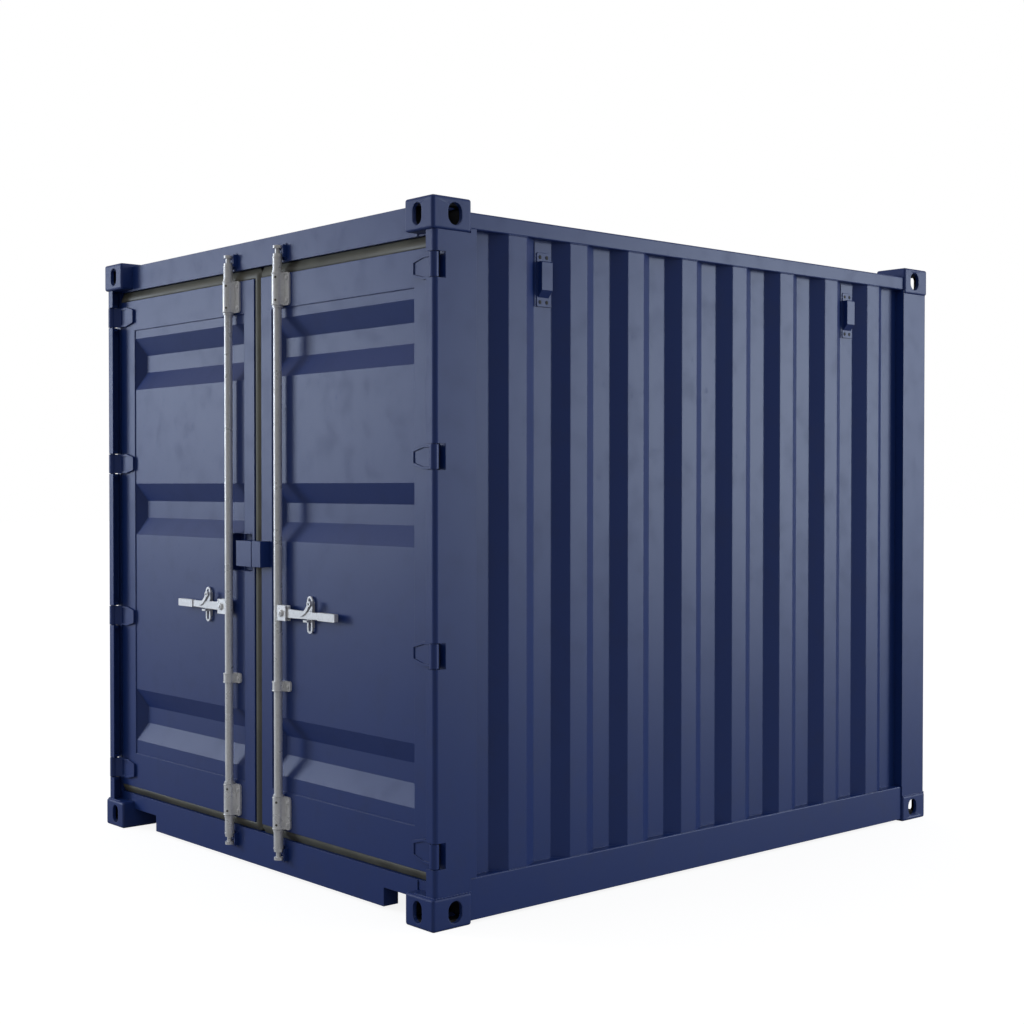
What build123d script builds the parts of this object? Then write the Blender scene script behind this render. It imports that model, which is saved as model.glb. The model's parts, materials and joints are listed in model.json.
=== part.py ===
"""Ten foot steel freight container with a pair of hinged doors.

Millimetres, +Z up.  The origin is on the ground at the middle of the footprint.
X runs across the width and Y along the length, and the doors face -Y.
"""
import os

from build123d import *

# Overall size, set by the faces of the corner castings
length = 2991.0
width = 2438.0
height = 2591.0

# Corner castings
casting_length = 178.0
casting_width = 162.0
casting_height = 118.0
casting_wall = 16.0
casting_inner_wall = 10.0
casting_cap = 28.0
casting_base = 10.0
casting_edge_radius = 12.0
slot_length = 124.5
slot_width = 63.5
slot_from_end = 101.5
slot_from_side = 89.0
end_hole_width = 51.0
side_hole_width = 63.5
casting_hole_height = 79.5

# How far the steelwork stands back from the castings
side_setback = 5.0
rail_setback = 11.0
wall_setback = 13.0
end_setback = 12.0
plate = 6.0

# How far a cutting block passes the face that it cuts
overcut = 1.0

# Door posts
post_length = 193.0
post_lip = 49.0
post_corner_radius = 16.0
post_box_width = 114.0
post_box_depth = 80.0
post_rebate_width = 32.0
post_rebate_depth = 63.0

# Rear posts
rear_post_side = 175.0
rear_post_end = 164.0
rear_post_return = 49.0

# Rails and beams
rail_height = 153.0
rail_bottom = 12.0
rail_flange = 48.0
rail_thickness = 5.0
top_rail_size = 60.0
top_rail_drop = 43.0
header_top_drop = 14.0
header_height = 111.0
header_depth = 94.0
sill_bottom = 14.0
sill_height = 138.0
sill_notch_width = 203.0
sill_notch_height = 71.0
beam_wall = 5.0
beam_setback = 58.0

# Corrugated walls
sheet = 2.0
rib_depth = 36.0
rib_slope = 68.0
rib_face = 88.0
side_rib_pitch = 310.7
rear_rib_pitch = 310.0

# Roof
roof_rib_pitch = 228.0
roof_rib_width = 150.0
roof_rib_height = 16.0
roof_rib_taper = 45.0
roof_rib_side_gap = 88.0

# Floor
floor_thickness = 28.0
floor_gap = 3.0
cross_member_height = 122.0
cross_member_flange = 45.0
cross_member_thickness = 4.0
cross_member_count = 9
cross_member_end_gap = 60.0

# Door leaves
leaf_setback = 58.0
leaf_thickness = 52.0
leaf_wall = 4.0
leaf_bottom_gap = 36.0
leaf_top_gap = 46.0
hinge_stile = 125.0
lock_stile = 77.0
centre_gap = 54.0
leaf_side_gap = 17.0
leaf_top_rail = 135.0
leaf_bottom_rail = 155.0
panel_recess = 4.0
trough_height = 238.0
trough_flat = 78.0
trough_depth = 36.0
trough_end_slope = 45.0
trough_rise = 180.0
trough_drops = (819.0, 157.0)

# Gaskets
seal_clearance = 0.5
seal_step = 4.0
seal_thickness = 44.0
centre_seal_reach = 45.0

# Hinges
hinge_rise = 77.0
hinge_drops = (1448.0, 745.0, 70.0)
pin_from_side = 25.0
pin_from_end = 26.0
pin_radius = 11.0
pin_clearance = 0.5
knuckle_radius = 17.0
knuckle_height = 87.0
notch_height = 93.0
notch_depth = 62.0
lug_thickness = 14.0
lug_width = 30.0
lug_depth = 26.0
blade_thickness = 11.0
blade_tip_height = 58.0
blade_tip_slope = 64.0
blade_tip_radius = 9.0
blade_rim = 9.0
blade_hollow = 4.0
blade_bend = 7.0
knuckle_overlap = 2.0

# Lock rods, cams, keepers and bearings
rod_radius = 17.0
rod_offset = 186.0
rod_from_end = 33.0
rod_reach_below = 78.0
rod_reach_above = 64.0
shank_radius = 19.0
cam_radius = 18.0
cam_shoulder_radius = 20.0
cam_neck_radius = 10.0
cam_nose_reach = 17.0
cam_nose_radius = 6.0
cam_prong = 11.0
cam_gap = 22.0
cam_shoulder = 6.0
keeper_width = 66.0
keeper_height = 66.0
keeper_plate = 3.0
keeper_cheek = 6.0
keeper_cheek_depth = 17.0
keeper_cheek_inset = 8.0
keeper_corner_radius = 10.0
keeper_tongue = 10.0
keeper_tongue_reach = 9.0
bearing_wall = 6.0
bearing_clearance = 0.4
bearing_height = 131.0
bearing_rise = 74.0
bearing_drop = 63.0
guide_height = 41.0
guide_rise = 583.0
bearing_flange = 32.0
bearing_plate = 6.0
bearing_corner_radius = 12.0
bearing_bead = 5.0
bearing_bead_rise = 2.5
collar_radius = 21.0
collar_height = 8.0
collar_clearance = 1.0

# Handles
handle_height = 1067.0
hub_reach = 71.0
hub_height = 61.0
hub_plate = 6.0
handle_pivot_offset = 42.0
handle_pivot_radius = 7.0
handle_pivot_head = 3.0
handle_bar_height = 36.0
handle_neck_height = 26.0
handle_bar_thickness = 10.0
handle_clearance = 2.0
handle_tip_offset = 402.0
grip_length = 116.0
grip_height = 31.0
grip_thickness = 18.0
grip_radius = 4.0
catch_offset = 198.0
catch_shift = 30.0
catch_ring_rise = 46.0
catch_ring_radius = 12.0
catch_eye_radius = 5.0
catch_arm_width = 13.0
catch_arm_reach = 56.0
catch_arm_bow = (24.0, 16.0)
catch_thickness = 12.0
catch_proud = 5.0
retainer_width = 36.0
retainer_height = 147.0
retainer_depth = 12.0
retainer_plate = 6.0
retainer_cheek = 5.0
retainer_cheek_height = 100.0
retainer_slot_width = 18.0
retainer_slot_height = 38.0
retainer_slot_offset = 46.5
retainer_shelf = 8.0
retainer_shelf_width = 26.0
retainer_shelf_gap = 2.0

# Lock box, and the pocket behind its left half
lock_box_half = 91.0
lock_box_top = 1348.0
lock_box_height = 105.0
lock_box_from_end = 10.0
lock_box_wall = 5.0
lock_box_joint = 25.0
lock_box_joint_gap = 6.0
pocket_far_side = 200.0
pocket_near_side = 40.0
pocket_above = 29.0
pocket_below = 25.0
pocket_depth = 44.0
pocket_wall = 3.0

# Wall vents
vent_width = 84.0
vent_top_gap = 7.0
vent_height = 258.0
vent_plate = 3.0
vent_hood_width = 74.0
vent_hood_drop = 83.0
vent_hood_height = 133.0
vent_hood_depth = 22.0
vent_hood_slope = 26.0
vent_hood_chamfer = 3.0
vent_ear_height = 32.0
vent_ear_radius = 6.0
vent_hole_radius = 6.0
vent_hole_spacing = 40.0

# Places worked out from the sizes above
half_width = width / 2
front = -length / 2
rear = length / 2
post_face = half_width - side_setback
rail_face = half_width - rail_setback
post_front = front + end_setback
post_back = post_front + post_length
post_seat = post_back - post_box_depth
rebate_face = post_seat - post_rebate_depth
rebate_side = post_face - post_rebate_width
casting_inside = half_width - casting_width
casting_back = front + casting_length
top_casting_bottom = height - casting_height
top_rail_top = height - top_rail_drop
top_rail_bottom = top_rail_top - top_rail_size
rail_top = rail_bottom + rail_height
beam_face = front + beam_setback
header_top = height - header_top_drop
header_bottom = header_top - header_height
sill_top = sill_bottom + sill_height
leaf_bottom = sill_top + leaf_bottom_gap
leaf_top = header_bottom - leaf_top_gap
leaf_face = front + leaf_setback
leaf_back = leaf_face + leaf_thickness
leaf_outer = rebate_side - leaf_side_gap
leaf_inner = centre_gap / 2
panel_face = leaf_face + panel_recess
panel_inner = leaf_inner + lock_stile
panel_outer = leaf_outer - hinge_stile
panel_bottom = leaf_bottom + leaf_bottom_rail
panel_top = leaf_top - leaf_top_rail
trough_centres = [panel_bottom + trough_rise] + [panel_top - drop for drop in trough_drops]
hinge_heights = [leaf_bottom + hinge_rise] + [leaf_top - drop for drop in hinge_drops]
pin_x = half_width - pin_from_side
pin_y = front + pin_from_end
rod_y = front + rod_from_end
rod_bottom = sill_top - rod_reach_below
rod_top = header_bottom + rod_reach_above
bearing_centres = (leaf_bottom + bearing_rise, leaf_top - bearing_drop)
guide_centre = leaf_bottom + guide_rise
handle_gap = handle_bar_thickness / 2 + handle_clearance
lock_box_face = front + lock_box_from_end
lock_box_bottom = lock_box_top - lock_box_height
pocket_top = lock_box_top + pocket_above
pocket_bottom = lock_box_bottom - pocket_below
pocket_back = leaf_face + pocket_depth
wall_face = half_width - wall_setback
wall_start = post_back
wall_end = rear - end_setback + plate - rear_post_side
rear_post_face = rear - end_setback + plate
rear_wall_face = rear_post_face - plate
floor_bottom = sill_top
floor_top = floor_bottom + floor_thickness
side_rib_count = int((wall_end - wall_start) // side_rib_pitch)
rear_wall_half = post_face - rear_post_end
rear_rib_count = int(2 * rear_wall_half // rear_rib_pitch)
roof_rib_count = int((length - 2 * casting_length) // roof_rib_pitch)
roof_rib_length = 2 * (rail_face - roof_rib_side_gap)
cam_length = cam_shoulder + 2 * cam_prong + cam_gap


def slab(x0, x1, y0, y1, z0, z1, mode=Mode.ADD):
    """Add a rectangular block between two opposite corners."""
    with Locations(((x0 + x1) / 2, (y0 + y1) / 2, (z0 + z1) / 2)):
        Box(abs(x1 - x0), abs(y1 - y0), abs(z1 - z0), mode=mode)


def column(points, z0, z1, mode=Mode.ADD):
    """Extrude an outline drawn in plan from one height to another."""
    with BuildSketch(Plane.XY.offset(z0)) as plan:
        with BuildLine():
            Polyline(*points, close=True)
        make_face()
    extrude(plan.sketch, amount=z1 - z0, mode=mode)


def rod(x, y, z0, z1, radius, mode=Mode.ADD):
    """Add an upright cylinder between two heights."""
    with Locations((x, y, (z0 + z1) / 2)):
        Cylinder(radius, z1 - z0, mode=mode)


def save(builder, name):
    """Label a finished piece and write it to its own file."""
    builder.part.label = name
    export_step(builder.part, f"parts/{name}.step")


def mirrored(points, side):
    """The points of an outline, on the right for side 1 and on the left for side -1."""
    return [(side * x, y) for x, y in points]


def corner_casting(side, end, top):
    """A hollow cast corner block with a slot and two side holes.

    side is 1 at +X, end is 1 at +Y, and top is 1 under the roof.
    """
    x_out = side * half_width
    x_in = side * casting_inside
    y_out = end * rear
    y_in = end * (rear - casting_length)
    z_out = height if top == 1 else 0.0
    z_in = top_casting_bottom if top == 1 else casting_height
    z_mid = (z_out + z_in) / 2
    slot_x = x_out - side * slot_from_side
    slot_y = y_out - end * slot_from_end
    with BuildPart() as casting:
        slab(x_in, x_out, y_in, y_out, z_in, z_out)
        outer_edge = casting.edges().filter_by(Axis.Z).sort_by_distance((x_out, y_out, z_mid))[0]
        fillet(outer_edge, radius=casting_edge_radius)
        slab(
            x_in + side * casting_inner_wall,
            x_out - side * casting_wall,
            y_in + end * casting_inner_wall,
            y_out - end * casting_wall,
            z_in + top * casting_base,
            z_out - top * casting_cap,
            mode=Mode.SUBTRACT,
        )
        with BuildSketch(Plane.XY.offset(z_out)):
            with Locations((slot_x, slot_y)):
                SlotOverall(slot_length, slot_width, rotation=90)
        extrude(amount=-top * casting_cap, mode=Mode.SUBTRACT)
        with BuildSketch(Plane.XZ.offset(-y_out)):
            with Locations((slot_x, z_mid)):
                SlotOverall(casting_hole_height, end_hole_width, rotation=90)
        extrude(amount=end * casting_wall, mode=Mode.SUBTRACT)
        with BuildSketch(Plane.YZ.offset(x_out)):
            with Locations((slot_y, z_mid)):
                SlotOverall(casting_hole_height, side_hole_width, rotation=90)
        extrude(amount=-side * casting_wall, mode=Mode.SUBTRACT)
    return casting


def door_post(side):
    """A door post with a lipped outer channel, a box behind it, hinge notches, lugs and pins."""
    box_in = post_face - post_box_width
    outer = [
        (post_face - post_lip, post_front),
        (post_face, post_front),
        (post_face, post_back),
        (box_in, post_back),
        (box_in, post_seat),
        (rebate_side, post_seat),
        (rebate_side, rebate_face),
        (post_face - plate, rebate_face),
        (post_face - plate, post_front + plate),
        (post_face - post_lip, post_front + plate),
    ]
    hollow = [
        (post_face - plate, post_back - plate),
        (box_in + plate, post_back - plate),
        (box_in + plate, post_seat + plate),
        (rebate_side + plate, post_seat + plate),
        (rebate_side + plate, rebate_face + plate),
        (post_face - plate, rebate_face + plate),
    ]
    with BuildPart() as post:
        column(mirrored(outer, side), casting_height, top_rail_bottom)
        column(mirrored(hollow, side), casting_height, top_rail_bottom, mode=Mode.SUBTRACT)
        corner = post.edges().filter_by(Axis.Z)
        outer_corner = corner.sort_by_distance((side * post_face, post_front, height / 2))[0]
        inner_corner = corner.sort_by_distance(
            (side * (post_face - plate), post_front + plate, height / 2)
        )[0]
        fillet(outer_corner, radius=post_corner_radius)
        fillet(inner_corner, radius=post_corner_radius - plate)
        slab(
            side * casting_inside,
            side * half_width,
            front,
            casting_back,
            top_casting_bottom,
            height,
            mode=Mode.SUBTRACT,
        )
        slab(
            side * (rail_face - rail_flange - floor_gap),
            side * half_width,
            casting_back,
            post_back + floor_gap,
            0,
            rail_top,
            mode=Mode.SUBTRACT,
        )
        for z in hinge_heights:
            slab(
                side * (post_face - post_lip - overcut),
                side * (post_face + overcut),
                front,
                front + notch_depth,
                z - notch_height / 2,
                z + notch_height / 2,
                mode=Mode.SUBTRACT,
            )
            for end in (-1, 1):
                slab(
                    side * (post_face - plate - lug_width),
                    side * (post_face - plate),
                    post_front + plate,
                    post_front + plate + lug_depth,
                    z + end * notch_height / 2,
                    z + end * (notch_height / 2 + lug_thickness),
                )
            reach = notch_height / 2 + lug_thickness
            rod(side * pin_x, pin_y, z - reach, z + reach, pin_radius)
    return post


def rear_post(side):
    """A pressed angle with returned edges at a rear corner."""
    x0 = post_face - rear_post_end
    y0 = rear_post_face - rear_post_side
    inner = plate
    outline = [
        (post_face, y0),
        (post_face, rear_post_face),
        (x0, rear_post_face),
        (x0, rear_post_face - rear_post_return),
        (x0 + inner, rear_post_face - rear_post_return),
        (x0 + inner, rear_post_face - inner),
        (post_face - inner, rear_post_face - inner),
        (post_face - inner, y0 + inner),
        (post_face - rear_post_return, y0 + inner),
        (post_face - rear_post_return, y0),
    ]
    with BuildPart() as post:
        column(mirrored(outline, side), casting_height, top_rail_bottom)
        corner = post.edges().filter_by(Axis.Z)
        fillet(corner.sort_by_distance((side * post_face, rear_post_face, height / 2))[0], radius=plate)
        slab(
            side * casting_inside,
            side * half_width,
            rear - casting_length,
            rear,
            top_casting_bottom,
            height,
            mode=Mode.SUBTRACT,
        )
        slab(
            side * (post_face - rear_post_return - overcut),
            side * half_width,
            y0 - overcut,
            rear - casting_length,
            0,
            rail_top,
            mode=Mode.SUBTRACT,
        )
        slab(0, side * casting_inside, 0, rear, 0, rail_top, mode=Mode.SUBTRACT)
    return post


def hollow_beam(x0, x1, y0, y1, z0, z1, wall):
    """A rectangular tube along X, open at its ends."""
    slab(x0, x1, y0, y1, z0, z1)
    slab(x0, x1, y0 + wall, y1 - wall, z0 + wall, z1 - wall, mode=Mode.SUBTRACT)


def door_header():
    """The box beam over the doors, with a bar that runs on under the castings."""
    with BuildPart() as header:
        hollow_beam(
            -casting_inside,
            casting_inside,
            beam_face,
            beam_face + header_depth,
            header_bottom,
            header_top,
            beam_wall,
        )
        for side in (-1, 1):
            slab(
                side * casting_inside,
                side * rebate_side,
                rebate_face,
                post_seat,
                header_bottom,
                top_casting_bottom,
            )
    return header


def door_sill():
    """The box beam under the doors, cut away beside the castings."""
    with BuildPart() as sill:
        hollow_beam(
            -casting_inside,
            casting_inside,
            beam_face,
            post_seat,
            sill_bottom,
            sill_top,
            beam_wall,
        )
        for side in (-1, 1):
            slab(
                side * (casting_inside - sill_notch_width),
                side * casting_inside,
                beam_face,
                post_seat,
                sill_bottom,
                sill_bottom + sill_notch_height,
                mode=Mode.SUBTRACT,
            )
            slab(
                side * (casting_inside - sill_notch_width),
                side * casting_inside,
                beam_face,
                post_seat,
                sill_bottom + sill_notch_height,
                sill_bottom + sill_notch_height + beam_wall,
            )
            slab(
                side * (casting_inside - sill_notch_width - beam_wall),
                side * (casting_inside - sill_notch_width),
                beam_face,
                post_seat,
                sill_bottom,
                sill_bottom + sill_notch_height + beam_wall,
            )
            slab(
                side * casting_inside,
                side * rebate_side,
                rebate_face,
                post_seat,
                casting_height,
                sill_top,
            )
    return sill


def side_rail(side):
    """The pressed channel along the bottom of a side wall, open inwards."""
    x0 = rail_face - rail_flange
    outline = [
        (x0, rail_bottom),
        (rail_face, rail_bottom),
        (rail_face, rail_top),
        (x0, rail_top),
        (x0, rail_top - rail_thickness),
        (rail_face - rail_thickness, rail_top - rail_thickness),
        (rail_face - rail_thickness, rail_bottom + rail_thickness),
        (x0, rail_bottom + rail_thickness),
    ]
    with BuildPart() as rail:
        with BuildSketch(Plane.XZ.offset(-casting_back)):
            with BuildLine():
                Polyline(*mirrored(outline, side), close=True)
            make_face()
        extrude(amount=-(length - 2 * casting_length))
        edges = rail.edges().filter_by(Axis.Y)
        fillet(edges.sort_by_distance((side * rail_face, 0, rail_top))[0], radius=rail_thickness)
    return rail


def top_side_rail(side):
    """The square tube along the top of a side wall."""
    with BuildPart() as rail:
        with BuildSketch(Plane.XZ.offset(-casting_back)):
            with Locations((side * (rail_face - top_rail_size / 2), top_rail_top - top_rail_size / 2)):
                RectangleRounded(top_rail_size, top_rail_size, plate)
                Rectangle(top_rail_size - plate, top_rail_size - plate, mode=Mode.SUBTRACT)
        extrude(amount=-(length - 2 * casting_length))
    return rail


def rear_beam(z0, z1, depth):
    """A tube across the rear between two castings."""
    with BuildPart() as beam:
        y1 = rear_wall_face
        hollow_beam(-casting_inside, casting_inside, y1 - depth, y1, z0, z1, beam_wall)
    return beam


def rib_outline(start, end, count, pitch, face):
    """The pressed sheet in plan, with ribs that rise to the face, spaced evenly about 0."""
    points = [(face - rib_depth, start)]
    for index in range(count):
        centre = (index - (count - 1) / 2) * pitch
        points.append((face - rib_depth, centre - rib_face / 2 - rib_slope))
        points.append((face, centre - rib_face / 2))
        points.append((face, centre + rib_face / 2))
        points.append((face - rib_depth, centre + rib_face / 2 + rib_slope))
    points.append((face - rib_depth, end))
    inner = [(x - sheet, y) for x, y in reversed(points)]
    return points + inner


def side_wall(side):
    """A corrugated sheet from the bottom rail to the top rail."""
    with BuildPart() as wall:
        outline = rib_outline(wall_start, wall_end, side_rib_count, side_rib_pitch, wall_face)
        column(mirrored(outline, side), rail_top, top_rail_bottom)
    return wall


def rear_wall():
    """The corrugated sheet that closes the rear."""
    with BuildPart() as wall:
        outline = rib_outline(
            -rear_wall_half,
            rear_wall_half,
            rear_rib_count,
            rear_rib_pitch,
            rear_wall_face,
        )
        column([(x, y) for y, x in outline], rail_top, top_rail_bottom)
    return wall


def roof_panel():
    """A sheet over the side rails, pressed up into ribs that cross it."""
    lap = rail_face - top_rail_size / 2
    header_back = beam_face + header_depth
    with BuildPart() as roof:
        slab(-lap, lap, casting_back, rear - casting_length, top_rail_top, top_rail_top + sheet)
        slab(
            -casting_inside,
            casting_inside,
            header_back,
            rear_wall_face,
            top_rail_top,
            top_rail_top + sheet,
        )
        for lift, shrink, mode in ((sheet, 0.0, Mode.ADD), (0.0, sheet, Mode.SUBTRACT)):
            with BuildSketch(Plane.XY.offset(top_rail_top + lift)):
                with GridLocations(0, roof_rib_pitch, 1, roof_rib_count):
                    Rectangle(roof_rib_length - 2 * shrink, roof_rib_width - 2 * shrink)
            extrude(amount=roof_rib_height, taper=roof_rib_taper, mode=mode)
    return roof


def floor_boards():
    """The plywood deck, notched round the door posts."""
    edge = rail_face - rail_flange - floor_gap
    box_in = post_face - post_box_width - floor_gap
    with BuildPart() as floor:
        back = rear_wall_face - rail_flange - floor_gap
        slab(-edge, edge, post_back + floor_gap, back, floor_bottom, floor_top)
        slab(-box_in, box_in, post_seat + floor_gap, post_back + floor_gap, floor_bottom, floor_top)
    return floor


def cross_members():
    """Pressed channels under the deck, from rail to rail."""
    reach = rail_face - rail_thickness
    first = casting_back + cross_member_end_gap
    last = rear - casting_length - cross_member_end_gap
    step = (last - first) / (cross_member_count - 1)
    z0 = floor_bottom - cross_member_height
    with BuildPart() as members:
        for index in range(cross_member_count):
            y = first + index * step
            back = y + cross_member_flange
            slab(-reach, reach, y, back, floor_bottom - cross_member_thickness, floor_bottom)
            slab(-reach, reach, y, back, z0, z0 + cross_member_thickness)
            slab(-reach, reach, y, y + cross_member_thickness, z0, floor_bottom)
    return members


def wall_vents():
    """Hooded vents on two inner flats of each side wall, open below, with an eared plate behind."""
    back = wall_face - rib_depth
    seat = back + vent_plate
    ear_face = seat + vent_plate
    hood_face = ear_face + vent_hood_depth
    offset = (side_rib_count - 2) / 2 * side_rib_pitch
    plate_top = top_rail_bottom - vent_top_gap
    hood_top = plate_top - vent_hood_drop
    hood_bottom = hood_top - vent_hood_height
    ear_middle = (hood_top + hood_bottom) / 2
    ear_reach = vent_hood_height + 2 * vent_ear_height
    hole_reach = (vent_hood_height + vent_ear_height) / 2
    hood = [
        (ear_face, hood_bottom),
        (hood_face, hood_bottom + vent_hood_slope),
        (hood_face, hood_top - vent_hood_chamfer),
        (hood_face - vent_hood_chamfer, hood_top),
        (ear_face, hood_top),
    ]
    with BuildPart() as vents:
        for side in (-1, 1):
            for end in (-1, 1):
                y = end * offset
                slab(
                    side * back,
                    side * seat,
                    y - vent_width / 2,
                    y + vent_width / 2,
                    plate_top - vent_height,
                    plate_top,
                )
                with BuildSketch(Plane.YZ.offset(side * seat)):
                    with Locations((y, ear_middle)):
                        RectangleRounded(vent_hood_width, ear_reach, vent_ear_radius)
                        with GridLocations(vent_hole_spacing, 2 * hole_reach, 2, 2):
                            Circle(vent_hole_radius, mode=Mode.SUBTRACT)
                extrude(amount=side * vent_plate)
                with BuildSketch(Plane.XZ.offset(-(y + vent_hood_width / 2))):
                    with BuildLine():
                        Polyline(*mirrored(hood, side), close=True)
                    make_face()
                extrude(amount=vent_hood_width)
    return vents


def lock_pocket(inset, mode):
    """The block of the pocket that is let into the left leaf, or the space inside its walls."""
    slab(
        -pocket_far_side + inset,
        -pocket_near_side - inset,
        leaf_face,
        pocket_back - inset,
        pocket_bottom + inset,
        pocket_top - inset,
        mode=mode,
    )


def leaf_frame(side):
    """Four welded tubes round a door leaf; the upright ones are open at their ends."""
    with BuildPart() as frame:
        slab(side * leaf_inner, side * leaf_outer, leaf_face, leaf_back, leaf_bottom, leaf_top)
        slab(
            side * panel_inner,
            side * panel_outer,
            leaf_face,
            leaf_back,
            panel_bottom,
            panel_top,
            mode=Mode.SUBTRACT,
        )
        y0 = leaf_face + leaf_wall
        y1 = leaf_back - leaf_wall
        for x0, x1 in ((leaf_inner, panel_inner), (panel_outer, leaf_outer)):
            slab(
                side * (x0 + leaf_wall),
                side * (x1 - leaf_wall),
                y0,
                y1,
                leaf_bottom,
                leaf_top,
                mode=Mode.SUBTRACT,
            )
        for z0, z1 in ((leaf_bottom, panel_bottom), (panel_top, leaf_top)):
            slab(
                side * (panel_inner - leaf_wall),
                side * (panel_outer + leaf_wall),
                y0,
                y1,
                z0 + leaf_wall,
                z1 - leaf_wall,
                mode=Mode.SUBTRACT,
            )
        if side == -1:
            lock_pocket(0.0, Mode.SUBTRACT)
    return frame


def trough(side, z, face, inset, mode):
    """One pressed trough: a wide mouth at the face and a narrow flat at the bottom."""
    x = side * (panel_inner + panel_outer) / 2
    wide = panel_outer - panel_inner - 2 * inset
    with BuildSketch(Plane.XZ.offset(-face)) as mouth:
        with Locations((x, z)):
            Rectangle(wide, trough_height - 2 * inset)
    with BuildSketch(Plane.XZ.offset(-(face + trough_depth))) as bottom:
        with Locations((x, z)):
            Rectangle(wide - 2 * trough_end_slope, trough_flat - inset)
    loft([mouth.sketch, bottom.sketch], mode=mode)


def leaf_panel(side):
    """The door sheet, set back from the frame and pressed in at three troughs."""
    with BuildPart() as panel:
        slab(
            side * panel_inner,
            side * panel_outer,
            panel_face,
            panel_face + sheet,
            panel_bottom,
            panel_top,
        )
        for z in trough_centres:
            trough(side, z, panel_face + sheet, 0.0, Mode.ADD)
            trough(side, z, panel_face, sheet, Mode.SUBTRACT)
        if side == -1:
            lock_pocket(0.0, Mode.SUBTRACT)
    return panel


def leaf_gasket(side):
    """The rubber seal round a leaf, just clear of the frame it shuts against."""
    inner = leaf_inner - centre_seal_reach if side == -1 else leaf_inner
    y0 = leaf_face + seal_step
    y1 = y0 + seal_thickness
    with BuildPart() as gasket:
        slab(
            side * inner,
            side * (rebate_side - seal_clearance),
            y0,
            y1,
            sill_top + seal_clearance,
            header_bottom - seal_clearance,
        )
        slab(side * leaf_inner, side * leaf_outer, front, rear, leaf_bottom, leaf_top, mode=Mode.SUBTRACT)
    return gasket


def hinge_blades(side):
    """Four tapered hinge blades with raised rims, each with its knuckle round a pin."""
    root = leaf_outer - blade_bend
    blade_face = leaf_face - blade_thickness
    taper_end = panel_outer + blade_tip_slope
    arm = [
        (pin_x - knuckle_radius + knuckle_overlap, pin_y - knuckle_overlap),
        (pin_x - knuckle_radius / 2, pin_y + knuckle_radius / 2 + knuckle_overlap),
        (root, leaf_face),
        (panel_outer, leaf_face),
        (panel_outer, blade_face),
        (root, blade_face),
    ]
    with BuildPart() as blades:
        for z in hinge_heights:
            z0 = z - knuckle_height / 2
            z1 = z + knuckle_height / 2
            column(mirrored(arm, side), z0, z1)
            for end in (-1, 1):
                waste = [
                    (panel_outer, z + end * blade_tip_height / 2),
                    (panel_outer, z + end * knuckle_height),
                    (taper_end, z + end * knuckle_height),
                    (taper_end, z + end * knuckle_height / 2),
                ]
                with BuildSketch(Plane.XZ.offset(-leaf_face)):
                    with BuildLine():
                        Polyline(*mirrored(waste, side), close=True)
                    make_face()
                extrude(amount=blade_thickness, mode=Mode.SUBTRACT)
                tip = (side * panel_outer, leaf_face, z + end * blade_tip_height / 2)
                fillet(blades.edges().filter_by(Axis.Y).sort_by_distance(tip)[0], radius=blade_tip_radius)
            hollow = [
                (panel_outer + blade_rim, z - blade_tip_height / 2 + blade_rim),
                (taper_end, z - knuckle_height / 2 + blade_rim),
                (root - blade_rim, z - knuckle_height / 2 + blade_rim),
                (root - blade_rim, z + knuckle_height / 2 - blade_rim),
                (taper_end, z + knuckle_height / 2 - blade_rim),
                (panel_outer + blade_rim, z + blade_tip_height / 2 - blade_rim),
            ]
            with BuildSketch(Plane.XZ.offset(-blade_face)):
                with BuildLine():
                    Polyline(*mirrored(hollow, side), close=True)
                make_face()
            extrude(amount=-blade_hollow, mode=Mode.SUBTRACT)
            rod(side * pin_x, pin_y, z0, z1, knuckle_radius)
            rod(side * pin_x, pin_y, z0, z1, pin_radius + pin_clearance, mode=Mode.SUBTRACT)
    return blades


def cam(x, z, end, side):
    """A forked cam on the end of a rod: a shoulder, a prong, a neck and a second prong.

    Each prong is drawn out into a nose that points away from the other rod.
    """
    prong_starts = (cam_shoulder, cam_shoulder + cam_prong + cam_gap)
    rod(x, rod_y, min(z, z + end * cam_shoulder), max(z, z + end * cam_shoulder), cam_shoulder_radius)
    rod(x, rod_y, min(z, z + end * cam_length), max(z, z + end * cam_length), cam_neck_radius)
    for start in prong_starts:
        with BuildSketch(Plane.XY.offset(z + end * start)) as prong:
            with Locations((x, rod_y)):
                Circle(cam_radius)
            with Locations((x + side * cam_nose_reach, rod_y)):
                Circle(cam_nose_radius)
            make_hull()
        extrude(prong.sketch, amount=end * cam_prong)


def lock_rod(side):
    """The tube with its cams, collars and the clevis that holds the handle."""
    x = side * rod_offset
    lower_end = rod_bottom + cam_length
    upper_end = rod_top - cam_length
    with BuildPart() as bar:
        rod(x, rod_y, lower_end, upper_end, rod_radius)
        cam(x, upper_end, 1, side)
        cam(x, lower_end, -1, side)
        for z, shank_end in zip(bearing_centres, (lower_end, upper_end)):
            for end in (-1, 1):
                low = z + end * (bearing_height / 2 + collar_clearance)
                high = low + end * collar_height
                rod(x, rod_y, min(low, high), max(low, high), collar_radius)
                if (shank_end - z) * end > 0:
                    rod(x, rod_y, min(high, shank_end), max(high, shank_end), shank_radius)
        for end in (-1, 1):
            slab(
                x,
                x + side * hub_reach,
                rod_y + end * handle_gap,
                rod_y + end * (handle_gap + hub_plate),
                handle_height - hub_height / 2,
                handle_height + hub_height / 2,
            )
        with Locations((x + side * handle_pivot_offset, rod_y, handle_height)):
            Cylinder(
                handle_pivot_radius,
                2 * (handle_gap + hub_plate + handle_pivot_head),
                rotation=(90, 0, 0),
            )
    return bar


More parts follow.
